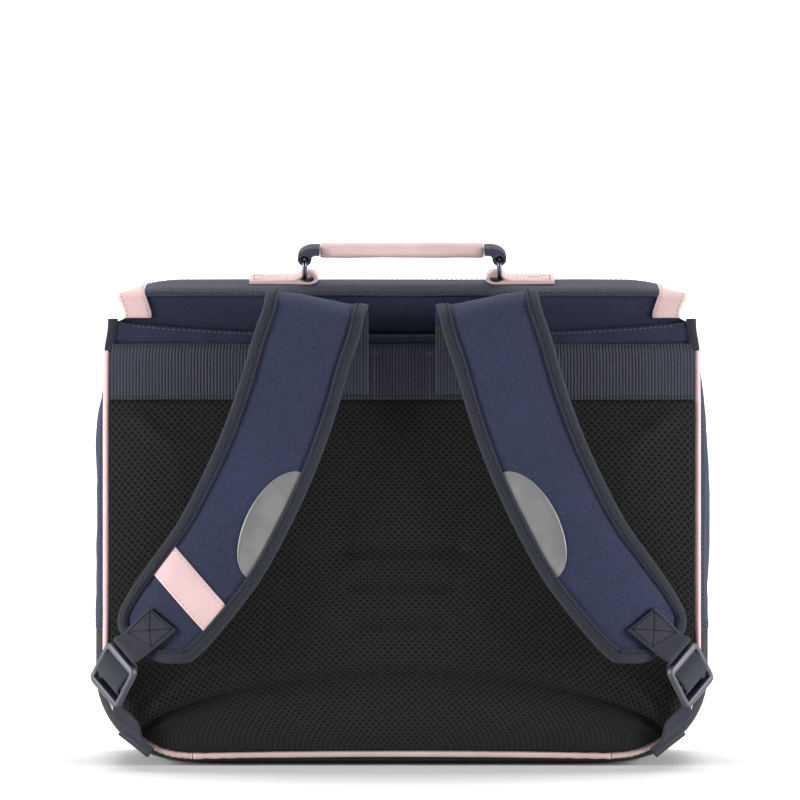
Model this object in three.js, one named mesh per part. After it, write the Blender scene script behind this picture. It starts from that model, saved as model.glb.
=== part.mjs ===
// A stiff school satchel carried on the back, standing on its base.
// The side with the shoulder straps faces -Y, +X is to its right and +Z is up. Lengths are in millimetres.
import * as THREE from 'three';
import { mergeVertices } from 'three/addons/utils/BufferGeometryUtils.js';

// Clearance between pieces that are sewn or laid together
const seamGap = 0.3;
// Clearance of a curved patch over the curved face that carries it
const patchGap = 0.5;
// Clearance of the stiff trims over the curved lid
const trimGap = 0.6;

// Case
const caseHalfWidth = 199;
const caseDepth = 165;
const backTopMiddle = 291;
const backTopRise = 8;
const cornerRadius = 58;
const pipingHeight = 7;
const wall = 2.5;
const sideBulge = 10;
const bulgeFade = 100;
const gussetTop = 299;
const gussetTuck = 9;
const gussetRise = 15;
const topNarrowing = 3;
const topNarrowingHeight = 25;
const baseSideHeight = 90;
const backBoard = 4;
const frontTop = 287;

// Piping round the back panel
const pipingDiameter = 4.5;
const pipingTop = 280;
const pipingSplice = 141;
const pipingArch = 1.5;
const pipingOffset = 1;

// Padded mesh on the back
const meshPadTop = 246.2;
const meshPadThickness = 8;
const meshPadEdge = 2.5;
const grooveHeight = 61.5;
const grooveDrop = 38;

// Broad webbing across the back
const broadWebbing = 38;
const webbingThickness = 1.6;
const backWebbingBottom = meshPadTop + 0.5;

// Lid
const lidHalfWidth = 192;
const lidThickness = 3;
const lidRise = 31;
const lidSeamRise = 6;
const lidFrontEnd = 150;
const lidEarTaper = 5;
const lidShoulder = 42;
const lidShoulderDrop = 9;
const trimWidth = 18;
const trimThickness = 1.2;

// Carrying handle
const handleSlope = 14;
const handleBack = 30;
const gripHalfLength = 55.5;
const gripRadius = 5.2;
const gripLift = 22;
const ringSpacing = 66;
const ringWire = 3;
const ringLength = 24;
const ringHeight = 13.5;
const ringBend = 4;
const loopWidth = 20;
const loopThickness = 2.2;
const tabLength = 44;
const tabThickness = 3;

// Shoulder straps
const strapWidth = 68;
const strapThickness = 10.5;
const strapEdgeThickness = 6;
const flapThickness = 4;
const flapMiddle = 55;
const flapSewn = 28;
const flapHem = 6;
const strapFoldTop = 317.5;
const strapFoldOut = 59.6;
const strapEndOut = 172;
const strapEndHeight = 76;
const strapStandoff = 31;
const bindingWidth = 8.5;
const bindingThickness = 1;
const bindingGap = 0.9;
const patchThickness = 0.7;
const reflectorDepth = 23;
const patchWidth = 23;

// Narrow webbing and ladder buckles
const narrowWebbing = 25;
const buckleWidth = 32;
const buckleLength = 34;
const buckleThickness = 5;
const buckleRail = 2.9;
const buckleBar = 5;
const buckleOut = 186;
const buckleBack = 28;
const buckleHeight = 76;
const webbingCornerAngle = 60;
const webbingWrap = 12;
const webbingSlack = 3;
const webbingLoose = 0.3;
// Ways across and down the right buckle, whose webbing pulls it aslant
const buckleAcross = [-0.574, -0.533, -0.614];
const buckleDown = [0.41, 0.46, -0.774];

// Plain clasps on the front
const claspSpacing = 105;
const claspWidth = 34;
const claspHeight = 46;
const claspThickness = 9;
const claspCorner = 5;
const claspBevel = 1;
const claspRise = 4;

// Rows of a shoulder strap below its fold: shares of the way out, down and off the back, then the lean
// and roll of its width in degrees, and its width and padding as shares
const strapRows = [
  { out: 0.000, down: 0.000, off: 0.82, lean: 14, roll: 0, wide: 1.00, puff: 1.0 },
  { out: 0.067, down: 0.098, off: 0.92, lean: 16, roll: 0, wide: 1.00, puff: 1.0 },
  { out: 0.152, down: 0.245, off: 0.99, lean: 18, roll: 0, wide: 1.00, puff: 1.0 },
  { out: 0.258, down: 0.392, off: 1.00, lean: 22, roll: 0, wide: 1.00, puff: 1.0 },
  { out: 0.391, down: 0.539, off: 0.98, lean: 28, roll: 1, wide: 1.00, puff: 1.0 },
  { out: 0.550, down: 0.686, off: 0.94, lean: 33, roll: 4, wide: 1.00, puff: 1.0 },
  { out: 0.722, down: 0.804, off: 0.90, lean: 37, roll: 10, wide: 1.00, puff: 1.0 },
  { out: 0.859, down: 0.891, off: 0.87, lean: 39, roll: 17, wide: 0.99, puff: 0.8 },
  { out: 0.947, down: 0.950, off: 0.86, lean: 41, roll: 22, wide: 0.93, puff: 0.0 },
  { out: 1.000, down: 1.000, off: 0.85, lean: 42, roll: 25, wide: 0.70, puff: 0.0 },
];

// Places along a strap, counted in its sections from the sewn flap
const foldLast = 9;
const bindingStart = 4;
const reflectorMiddle = 13.15;
const reflectorReach = 1.35;
const patchMiddle = 15.05;

// Rows of the lid from its sewn edge over the top: shares of its depth and rise, then how much of the
// ear taper and of the shoulder drop each row takes
const lidRows = [
  { deep: 0.001, up: -0.16, taper: 1, droop: 0.0 },
  { deep: 0.004, up: 0.28, taper: 1, droop: 0.0 },
  { deep: 0.015, up: 0.60, taper: 0.2, droop: 0.4 },
  { deep: 0.042, up: 0.75, taper: 0, droop: 0.8 },
  { deep: 0.103, up: 0.83, taper: 0, droop: 1.0 },
  { deep: 0.188, up: 0.92, taper: 0, droop: 1.0 },
  { deep: 0.273, up: 0.97, taper: 0, droop: 1.0 },
  { deep: 0.485, up: 1.00, taper: 0, droop: 1.0 },
  { deep: 0.697, up: 0.96, taper: 0, droop: 1.0 },
  { deep: 0.848, up: 0.87, taper: 0, droop: 1.0 },
  { deep: 0.927, up: 0.70, taper: 0, droop: 0.8 },
  { deep: 0.979, up: 0.36, taper: 0, droop: 0.4 },
  { deep: 1.000, up: -0.10, taper: 0, droop: 0.0 },
];

// Colours and finishes
const finishes = {
  navyTwill: { color: 0x3c4259, roughness: 0.85, metalness: 0 },
  navyPanel: { color: 0x2c3246, roughness: 0.85, metalness: 0 },
  blackBase: { color: 0x1d1d22, roughness: 0.8, metalness: 0 },
  blackMesh: { color: 0x191a1c, roughness: 0.95, metalness: 0 },
  greyWebbing: { color: 0x3f414d, roughness: 0.8, metalness: 0 },
  greyBinding: { color: 0x393c45, roughness: 0.85, metalness: 0 },
  pinkLeather: { color: 0xe8cccb, roughness: 0.5, metalness: 0 },
  silverReflector: { color: 0x8d8d8e, roughness: 0.45, metalness: 0.2 },
  gunmetal: { color: 0x50525a, roughness: 0.3, metalness: 1 },
  darkPlastic: { color: 0x50525d, roughness: 0.45, metalness: 0 },
};

const satchel = new THREE.Group();

function smooth(from, to, value) {
  return THREE.MathUtils.smoothstep(value, from, to);
}

function steps(from, to, count) {
  return Array.from({ length: count + 1 }, (_, i) => from + (to - from) * i / count);
}

// The volume inside a closed mesh, negative if its faces point in
function signedVolume(geometry) {
  const place = geometry.attributes.position;
  const index = geometry.index;
  const corner = [new THREE.Vector3(), new THREE.Vector3(), new THREE.Vector3()];
  let volume = 0;
  for (let i = 0; i < index.count; i += 3) {
    corner.forEach((point, k) => point.fromBufferAttribute(place, index.getX(i + k)));
    volume += corner[0].dot(corner[1].cross(corner[2])) / 6;
  }
  return volume;
}

// One closed body with its faces pointing out
function closedBody(source) {
  const bare = source.clone();
  bare.deleteAttribute('normal');
  bare.deleteAttribute('uv');
  const geometry = mergeVertices(bare, 1e-4);
  if (signedVolume(geometry) < 0) {
    const index = geometry.index;
    for (let i = 0; i < index.count; i += 3) {
      const first = index.getX(i);
      index.setX(i, index.getX(i + 1));
      index.setX(i + 1, first);
    }
  }
  geometry.computeVertexNormals();
  return geometry;
}

function add(name, geometry, finish, parent = satchel) {
  const mesh = new THREE.Mesh(closedBody(geometry), new THREE.MeshStandardMaterial(finishes[finish]));
  mesh.name = name;
  parent.add(mesh);
  return mesh;
}

// A box whose grid lines lie at the given values of u, v and w, bent by the function place
function bentBox(us, vs, ws, place) {
  const geometry = new THREE.BoxGeometry(1, 1, 1, us.length - 1, vs.length - 1, ws.length - 1);
  const position = geometry.attributes.position;
  const value = (list, share) => list[Math.round((share + 0.5) * (list.length - 1))];
  for (let i = 0; i < position.count; i += 1) {
    const u = value(us, position.getX(i));
    const v = value(vs, position.getY(i));
    const w = value(ws, position.getZ(i));
    const point = place(u, v, w);
    position.setXYZ(i, point.x, point.y, point.z);
  }
  return geometry;
}

// A round bar along a curve
function roundBar(curve, radius, sides, count) {
  const section = new THREE.Shape();
  for (const [i, angle] of steps(0, 2 * Math.PI, sides).slice(0, -1).entries()) {
    const x = radius * Math.cos(angle);
    const y = radius * Math.sin(angle);
    if (i === 0) section.moveTo(x, y);
    else section.lineTo(x, y);
  }
  section.closePath();
  return new THREE.ExtrudeGeometry(section, { extrudePath: curve, steps: count, bevelEnabled: false });
}

// Outline of the case seen from behind, on the line of the piping
const cornerHeight = pipingHeight + cornerRadius;
const cornerOut = caseHalfWidth - cornerRadius;

// Half the width at a height, for an outline drawn a distance inside the piping line
function halfWidthAt(z, inset) {
  const radius = cornerRadius - inset;
  const narrowed = topNarrowing * smooth(gussetTop - topNarrowingHeight, gussetTop, z);
  if (z >= cornerHeight) return caseHalfWidth - inset - narrowed;
  const below = Math.min(cornerHeight - z, radius);
  return cornerOut + Math.sqrt(radius * radius - below * below);
}

// Heights of the rows of a panel with the rounded lower corners
function panelHeights(inset, top) {
  const radius = cornerRadius - inset;
  const turn = steps(90, 0, 5).map((angle) => cornerHeight - radius * Math.sin(angle * Math.PI / 180));
  return [...turn, cornerHeight + (top - cornerHeight) * 0.5, top];
}

// Rise of the lower edge towards its middle
function archAt(x) {
  return pipingArch * Math.max(0, 1 - (x / pipingSplice) ** 2);
}

const panelColumns = [-1, -0.85, -0.6, -0.3, 0, 0.3, 0.6, 0.85, 1];

// A share of 0 at the two seams and 1 across the middle of the depth
function bulgeShare(v) {
  return Math.sqrt(Math.max(0, Math.sin(Math.PI * v)));
}

// Side gussets, which tuck in under the lid
const gussetStart = pipingDiameter / 2 + seamGap + 1;
const depthColumns = [0, 0.04, 0.12, 0.25, 0.5, 0.75, 0.88, 0.96, 1];

function addGusset(name, side) {
  const rows = [0, 0.2, 0.4, 0.6, 0.75, 0.86, 0.93, 1];
  const bottom = baseSideHeight + seamGap;
  const geometry = bentBox(rows, depthColumns, [-1, 1], (u, v, w) => {
    const share = bulgeShare(v);
    const top = gussetTop + gussetRise * share;
    const z = bottom + (top - bottom) * u;
    const held = 1 - smooth(gussetTop - bulgeFade, gussetTop + gussetRise, z);
    const tuck = gussetTuck * share * smooth(0.86, 1, u);
    const out = halfWidthAt(z, 0) + sideBulge * share * held - tuck + w * wall / 2;
    return new THREE.Vector3(side * out, gussetStart + (caseDepth - gussetStart) * v, z);
  });
  add(name, geometry, 'navyTwill');
}

addGusset('gusset_left', -1);
addGusset('gusset_right', 1);

// Black base that runs under the case and a hand's breadth up both sides
function addBase() {
  const bottomDrop = pipingHeight - wall / 2;
  const route = [{ x: caseHalfWidth, z: baseSideHeight, angle: 0 }];
  for (const angle of steps(0, 90, 7)) {
    const turn = angle * Math.PI / 180;
    route.push({
      x: cornerOut + cornerRadius * Math.cos(turn),
      z: cornerHeight - cornerRadius * Math.sin(turn),
      angle,
    });
  }
  const half = [...route, { x: cornerOut * 0.4, z: pipingHeight, angle: 90 }];
  const mirror = half.map((row) => ({ x: -row.x, z: row.z, angle: 180 - row.angle })).reverse();
  const rows = [...half, ...mirror];
  const geometry = bentBox([...rows.keys()], depthColumns, [-1, 1], (u, v, w) => {
    const row = rows[u];
    const turn = row.angle * Math.PI / 180;
    const bulge = bulgeShare(v) * (sideBulge * Math.abs(Math.cos(turn))
      + bottomDrop * Math.sin(turn));
    const flat = row.angle === 90 ? Math.min(bulge * 1.35, bottomDrop) : bulge;
    const out = flat + w * wall / 2;
    return new THREE.Vector3(
      row.x + out * Math.cos(turn),
      gussetStart + (caseDepth - gussetStart) * v,
      Math.max(row.z - out * Math.sin(turn), (1 - w) * wall / 2),
    );
  });
  add('base_panel', geometry, 'blackBase');
}

addBase();

// Flat front, inside the gussets' front edges
function addFrontPanel() {
  const inset = wall / 2 + patchGap;
  const geometry = bentBox(panelColumns, panelHeights(inset, frontTop), [0, 1], (u, z, w) => (
    new THREE.Vector3(u * halfWidthAt(z, inset), caseDepth - wall * (1 - w), z)
  ));
  add('front_panel', geometry, 'navyPanel');
}

addFrontPanel();

// Back board, whose hemmed top edge sags towards the middle
function addBackPanel() {
  const inset = pipingDiameter / 2 + seamGap;
  const heights = panelHeights(inset, backTopMiddle);
  const geometry = bentBox(panelColumns, heights, [0, 1], (u, z, w) => {
    const x = u * halfWidthAt(z, inset);
    const arch = archAt(x) * (1 - smooth(pipingHeight, cornerHeight, z));
    const rise = z === backTopMiddle ? backTopRise * Math.abs(u) ** 2.5 : arch;
    return new THREE.Vector3(x, backBoard * w, z + rise);
  });
  add('back_panel', geometry, 'navyPanel');
}

addBackPanel();

// Height of the sewn groove over the lumbar pad
function grooveAt(share) {
  return grooveHeight - grooveDrop * Math.abs(share) ** 2.3;
}

// Puffed mesh with the lumbar groove
function addMeshPad() {
  const inset = pipingDiameter / 2 + seamGap;
  const bottom = pipingHeight + inset;
  const rows = [
    { below: 0.00, above: 0.00, full: 0.0 },
    { below: 0.30, above: 0.00, full: 0.9 },
    { below: 0.80, above: 0.00, full: 0.8 },
    { below: 1.00, above: 0.00, full: 0.1 },
    { below: 1.00, above: 0.05, full: 0.8 },
    { below: 1.00, above: 0.30, full: 1.0 },
    { below: 1.00, above: 0.60, full: 1.0 },
    { below: 1.00, above: 0.90, full: 0.9 },
    { below: 1.00, above: 1.00, full: 0.0 },
  ];
  const columns = [-1, -0.95, -0.85, -0.65, -0.35, 0, 0.35, 0.65, 0.85, 0.95, 1];
  const geometry = bentBox(columns, [...rows.keys()], [0, 1], (u, v, w) => {
    const row = rows[v];
    const groove = grooveAt(u);
    const low = bottom + archAt(u * cornerOut);
    const z = low + (groove - low) * row.below + (meshPadTop - groove) * row.above;
    const rim = 1 - smooth(0.85, 1, Math.abs(u));
    const thick = meshPadEdge + (meshPadThickness - meshPadEdge) * row.full * rim;
    return new THREE.Vector3(u * halfWidthAt(z, inset), -seamGap - thick * w, z);
  });
  add('back_mesh_pad', geometry, 'blackMesh');
}

addMeshPad();

// Broad webbing sewn across the back above the mesh
const backWebbingFace = -seamGap - webbingThickness;

function addBackWebbing() {
  const inset = pipingDiameter / 2 + seamGap;
  const heights = [backWebbingBottom, backWebbingBottom + broadWebbing];
  const geometry = bentBox([-1, 0, 1], heights, [0, 1], (u, z, w) => (
    new THREE.Vector3(u * halfWidthAt(z, inset), -seamGap - webbingThickness * w, z)
  ));
  add('back_webbing', geometry, 'greyWebbing');
}

addBackWebbing();

// Piping in three lengths, spliced under the lower corners
function addPiping() {
  const point = (x, z) => new THREE.Vector3(x, pipingOffset, z);
  const sideRoute = steps(pipingTop, cornerHeight, 5).map((z) => point(halfWidthAt(z, 0), z));
  for (const angle of steps(0, 90, 7).slice(1)) {
    const turn = angle * Math.PI / 180;
    const x = cornerOut + cornerRadius * Math.cos(turn);
    sideRoute.push(point(x, cornerHeight - cornerRadius * Math.sin(turn)));
  }
  for (const [name, side] of [['piping_left', -1], ['piping_right', 1]]) {
    const points = sideRoute.map((p) => new THREE.Vector3(side * p.x, p.y, p.z));
    add(name, roundBar(new THREE.CatmullRomCurve3(points), pipingDiameter / 2, 8, 26), 'pinkLeather');
  }
  const half = pipingSplice - seamGap;
  const arch = steps(-half, half, 8).map((x) => point(x, pipingHeight + pipingArch * (1 - (x / half) ** 2)));
  add('piping_bottom', roundBar(new THREE.CatmullRomCurve3(arch), pipingDiameter / 2, 8, 14), 'pinkLeather');
}

addPiping();

// Lid: a curve in the side view, swept across the width
const lidBack = backBoard + seamGap + lidThickness;
const lidFront = caseDepth + seamGap + lidThickness;
const lidCurve = new THREE.CatmullRomCurve3([
  ...lidRows.map((row) => new THREE.Vector3(
    row.taper,
    lidBack - lidThickness + (lidFront - lidBack + lidThickness) * row.deep,
    backTopMiddle + lidSeamRise + lidRise * row.up,
  )),
  new THREE.Vector3(0, lidFront, (lidFrontEnd + backTopMiddle) / 2),
  new THREE.Vector3(0, lidFront, lidFrontEnd),
], false, 'centripetal');
const lidCount = lidRows.length + 1;

// A point at height w over the lid's outer face, row t along it and x across it
function lidPoint(t, across, w) {
  const share = t / lidCount;
  const point = lidCurve.getPoint(share);
  const tangent = lidCurve.getTangent(share);
  const normal = new THREE.Vector3(0, -tangent.z, tangent.y).normalize();
  const low = lidRows[Math.min(Math.floor(t), lidRows.length - 1)];
  const high = lidRows[Math.min(Math.ceil(t), lidRows.length - 1)];
  const between = t - Math.floor(t);
  const droop = t > lidRows.length - 1 ? 0 : low.droop + (high.droop - low.droop) * between;
  const taper = t > lidRows.length - 1 ? 0 : low.taper + (high.taper - low.taper) * between;
  const half = lidHalfWidth - lidEarTaper * taper;
  const x = across * half;
  const edge = Math.max(0, (Math.abs(across) * lidHalfWidth - lidHalfWidth + lidShoulder) / lidShoulder);
  const drop = lidShoulderDrop * droop * edge * edge;
  return new THREE.Vector3(x, point.y + normal.y * w, point.z + normal.z * w - drop);
}

function addLid() {
  const columns = [-1, -0.93, -0.86, -0.78, -0.4, 0, 0.4, 0.78, 0.86, 0.93, 1];
  const rows = steps(0, lidCount, lidCount);
  const geometry = bentBox(columns, rows, [0, 1], (u, v, w) => lidPoint(v, u, -lidThickness * w));
  add('lid', geometry, 'navyPanel');
}

addLid();

// Trims along the lid's side edges
function addLidTrim(name, side) {
  const inner = 1 - trimWidth / lidHalfWidth;
  const columns = [inner, (inner + 1) / 2, 1];
  const rows = [0.75, ...steps(1, lidCount, lidCount - 1)];
  const geometry = bentBox(columns, rows, [0, 1], (u, v, w) => (
    lidPoint(v, side * u, trimGap + trimThickness * w)
  ));
  add(name, geometry, 'pinkLeather');
}

addLidTrim('lid_trim_left', -1);
addLidTrim('lid_trim_right', 1);

// Webbing along the lid's back edge, under the handle
const lidWebbingStart = 2.9;
const lidWebbingEnd = 6.1;

function addLidWebbing() {
  const half = 1 - (trimWidth + seamGap) / lidHalfWidth;
  const columns = [-half, -0.85, -0.78, -0.4, 0, 0.4, 0.78, 0.85, half];
  const rows = [lidWebbingStart, 3.25, 3.6, 4, 4.5, 5, 5.5, lidWebbingEnd];
  const geometry = bentBox(columns, rows, [0, 1], (u, v, w) => (
    lidPoint(v, u, patchGap + webbingThickness * w)
  ));
  add('lid_webbing', geometry, 'greyWebbing');
}

addLidWebbing();

// Carrying handle, in a frame that lies on the sloping webbing
function lidHeightAt(y) {
  let best = lidPoint(lidWebbingStart, 0, 0);
  for (const t of steps(lidWebbingStart, lidWebbingEnd, 60)) {
    const point = lidPoint(t, 0, 0);
    if (Math.abs(point.y - y) < Math.abs(best.y - y)) best = point;
  }
  return best.z;
}

const handle = new THREE.Group();
handle.position.set(0, handleBack, lidHeightAt(handleBack) + patchGap + webbingThickness + patchGap);
handle.rotation.x = handleSlope * Math.PI / 180;
satchel.add(handle);

const eyeRadius = ringWire / 2 + trimGap;
const tabEye = eyeRadius + tabThickness / 2;
const ringBottom = tabEye;
const ringTop = ringBottom + ringHeight;

// Points of a path, each once, in the wanted direction
function distinctPoints(path, curveSegments, clockwise) {
  const all = path.getPoints(curveSegments);
  const points = all.filter((point, i) => point.distanceTo(all[(i + 1) % all.length]) > 0.01);
  return THREE.ShapeUtils.isClockWise(points) === clockwise ? points : points.reverse();
}

// A flat profile in the front view, given a width along the handle frame's Y
function widthwise(outline, width, curveSegments) {
  const shape = new THREE.Shape(distinctPoints(outline, curveSegments, false));
  shape.holes = outline.holes.map((hole) => new THREE.Path(distinctPoints(hole, curveSegments, true)));
  const geometry = new THREE.ExtrudeGeometry(shape, { depth: width, bevelEnabled: false });
  geometry.rotateX(Math.PI / 2);
  geometry.translate(0, width / 2, 0);
  return geometry;
}

function addHandleSide(label, side) {
  const tab = new THREE.Shape();
  tab.moveTo(tabLength, 0);
  tab.lineTo(tabLength, tabThickness);
  tab.lineTo(tabEye * 1.4, tabThickness);
  tab.absarc(0, tabEye, tabEye, -0.1 * Math.PI, 1.5 * Math.PI, false);
  tab.closePath();
  const tabHole = new THREE.Path();
  tabHole.absarc(0, tabEye, eyeRadius, 0, 2 * Math.PI, true);
  tab.holes.push(tabHole);

  const loopOuter = eyeRadius + loopThickness;
  const start = gripHalfLength + seamGap - ringSpacing;
  const gripTop = gripLift + loopThickness;
  const gripBottom = gripLift - loopThickness;
  const loop = new THREE.Shape();
  loop.moveTo(start, gripBottom);
  loop.lineTo(start, gripTop);
  loop.lineTo(-loopOuter * 1.2, gripTop);
  loop.absellipse(-loopOuter * 1.2, ringTop, loopOuter * 2.2, gripTop - ringTop, Math.PI / 2, 0, true);
  loop.absarc(0, ringTop, loopOuter, 0, Math.PI, true);
  loop.lineTo(-loopOuter, gripBottom - 1);
  loop.lineTo(-loopOuter * 1.4, gripBottom);
  loop.closePath();
  const loopHole = new THREE.Path();
  loopHole.absarc(0, ringTop, eyeRadius, 0, 2 * Math.PI, true);
  loop.holes.push(loopHole);

  const pieces = [
    { name: 'handle_tab', shape: tab, finish: 'pinkLeather' },
    { name: 'handle_loop', shape: loop, finish: 'greyWebbing' },
  ];
  for (const { name, shape, finish } of pieces) {
    const geometry = widthwise(shape, loopWidth, 7);
    geometry.scale(side, 1, 1);
    geometry.translate(side * ringSpacing, 0, 0);
    add(`${name}_${label}`, geometry, finish, handle);
  }

  const half = ringLength / 2;
  const straight = half - ringBend;
  const sides = [
    { from: [half, ringBottom + ringBend], to: [half, ringTop - ringBend], corner: [half, ringTop] },
    { from: [straight, ringTop], to: [-straight, ringTop], corner: [-half, ringTop] },
    { from: [-half, ringTop - ringBend], to: [-half, ringBottom + ringBend], corner: [-half, ringBottom] },
    { from: [-straight, ringBottom], to: [straight, ringBottom], corner: [half, ringBottom] },
  ];
  const points = [];
  sides.forEach(({ from, to, corner }, i) => {
    const [start, end, bend, next] = [from, to, corner, sides[(i + 1) % sides.length].from]
      .map(([y, z]) => new THREE.Vector3(0, y, z));
    points.push(start, end, new THREE.QuadraticBezierCurve3(end, bend, next).getPoint(0.5));
  });
  const loopCurve = new THREE.CatmullRomCurve3(points, true, 'catmullrom', 0.35);
  const geometry = closedRing(loopCurve, ringWire / 2, 6, 24);
  geometry.translate(side * ringSpacing, 0, 0);
  add(`handle_ring_${label}`, geometry, 'gunmetal', handle);
}

// A round bar along a closed curve that lies in the YZ plane
function closedRing(curve, radius, sides, count) {
  const torus = new THREE.TorusGeometry(1, 0.1, sides, count);
  const position = torus.attributes.position;
  for (let i = 0; i < position.count; i += 1) {
    const x = position.getX(i);
    const y = position.getY(i);
    const around = (Math.atan2(y, x) / (2 * Math.PI) + 1) % 1;
    const outward = (Math.hypot(x, y) - 1) / 0.1;
    const sideways = position.getZ(i) / 0.1;
    const point = curve.getPoint(around);
    const tangent = curve.getTangent(around);
    const normal = new THREE.Vector3(0, tangent.z, -tangent.y);
    point.addScaledVector(normal, outward * radius);
    position.setXYZ(i, sideways * radius, point.y, point.z);
  }
  return torus;
}

addHandleSide('left', -1);
addHandleSide('right', 1);

function addGrip() {
  const curve = new THREE.LineCurve3(
    new THREE.Vector3(-gripHalfLength, 0, gripLift),
    new THREE.Vector3(gripHalfLength, 0, gripLift),
  );
  add('handle_grip', roundBar(curve, gripRadius, 14, 6), 'pinkLeather', handle);
}

addGrip();

// A shoulder strap: sewn flap, fold and padded length, as sections along one curve
function strapSections(side) {
  const flapBack = backWebbingFace - seamGap - flapThickness / 2;
  const foldEnd = -strapStandoff * strapRows[0].off;
  const foldRadius = (flapBack - foldEnd) / 2;
  const foldHeight = strapFoldTop - foldRadius - strapThickness / 2;
  const flapBottom = backWebbingBottom + broadWebbing - flapSewn - flapHem;
  const sections = [];
  for (const z of [flapBottom, flapBottom + flapSewn, foldHeight - flapHem]) {
    sections.push({ x: flapMiddle, y: flapBack, z, lean: 0, roll: 0, wide: 1, thick: 0, puff: 1 });
  }
  for (const angle of steps(0, 180, 6)) {
    const share = angle / 180;
    const turn = angle * Math.PI / 180;
    sections.push({
      x: flapMiddle + (strapFoldOut - flapMiddle) * share,
      y: (flapBack + foldEnd) / 2 + foldRadius * Math.cos(turn),
      z: foldHeight + foldRadius * Math.sin(turn),
      lean: strapRows[0].lean * share,
      roll: 0,
      wide: 1,
      thick: share,
      puff: 1,
    });
  }
  for (const row of strapRows.slice(1)) {
    sections.push({
      x: strapFoldOut + (strapEndOut - strapFoldOut) * row.out,
      y: -strapStandoff * row.off,
      z: foldHeight + (strapEndHeight - foldHeight) * row.down,
      lean: row.lean,
      roll: row.roll,
      wide: row.wide,
      thick: 1,
      puff: row.puff,
    });
  }
  const curve = new THREE.CatmullRomCurve3(sections.map((s) => new THREE.Vector3(side * s.x, s.y, s.z)));
  return { side, sections, curve, last: sections.length - 1 };
}

// Frame of the strap at row u: its middle, the way across from outer to inner edge, and the way out of
// the face that shows
function strapFrame(strap, u) {
  const low = strap.sections[Math.floor(u)];
  const high = strap.sections[Math.min(Math.floor(u) + 1, strap.last)];
  const mix = (key) => low[key] + (high[key] - low[key]) * (u - Math.floor(u));
  const lean = mix('lean') * Math.PI / 180;
  const roll = mix('roll') * Math.PI / 180;
  const middle = strap.curve.getPoint(u / strap.last);
  const tangent = strap.curve.getTangent(u / strap.last);
  const across = new THREE.Vector3(
    -strap.side * Math.cos(lean) * Math.cos(roll),
    -Math.sin(roll),
    -Math.sin(lean) * Math.cos(roll),
  );
  across.addScaledVector(tangent, -across.dot(tangent)).normalize();
  const out = new THREE.Vector3().crossVectors(across, tangent).multiplyScalar(strap.side);
  const half = mix('wide') * strapWidth / 2;
  return { middle, across, out, half, thick: mix('thick'), puff: mix('puff') };
}

// Half the width of the padded middle between the bindings
function paddedHalf(frame) {
  return frame.half - bindingWidth - seamGap;
}

// Half the thickness of the strap at a distance x from its middle
function strapHalfThickness(frame, x) {
  const edge = flapThickness + (strapEdgeThickness - flapThickness) * frame.thick;
  const middle = flapThickness + (strapThickness - flapThickness) * frame.thick;
  const share = 1 - smooth(0.45, 1, Math.abs(x) / paddedHalf(frame));
  return (edge + (middle - edge) * share * frame.puff) / 2;
}

// A point at a distance x from the strap's middle, towards its inner edge, and at a height over its face
function strapPoint(strap, u, x, height, faceSide = 1) {
  const frame = strapFrame(strap, u);
  const lift = faceSide * (strapHalfThickness(frame, x) + height);
  return frame.middle.clone()
    .addScaledVector(frame.across, x)
    .addScaledVector(frame.out, lift);
}

// Columns of the strap's mesh: shares of the padded half, and 2 at the strap's edge
const strapColumns = [-2, -1, -0.72, -0.45, 0, 0.45, 0.72, 1, 2];

// Rows of the strap's mesh: every section, and one between each pair below the fold
function strapRowsFrom(strap, first) {
  const rows = [];
  for (let u = first; u <= strap.last; u += u < foldLast || u >= strap.last - 2 ? 1 : 0.5) {
    rows.push(u);
  }
  if (rows[rows.length - 1] !== strap.last) rows.push(strap.last);
  return rows;
}

function addStrap(label, strap) {
  const lastRow = strapFrame(strap, strap.last - 1).middle
    .distanceTo(strapFrame(strap, strap.last).middle);
  const endInset = (bindingThickness + bindingGap) / lastRow;
  const geometry = bentBox(strapRowsFrom(strap, 0), strapColumns, [-1, 1], (u, v, w) => {
    const row = u === strap.last ? strap.last - endInset : u;
    const frame = strapFrame(strap, row);
    const x = Math.abs(v) > 1
      ? Math.sign(v) * (frame.half - bindingThickness - bindingGap)
      : v * paddedHalf(frame);
    return strapPoint(strap, row, x, 0, w);
  });
  add(`strap_${label}`, geometry, 'navyTwill');
}

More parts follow.
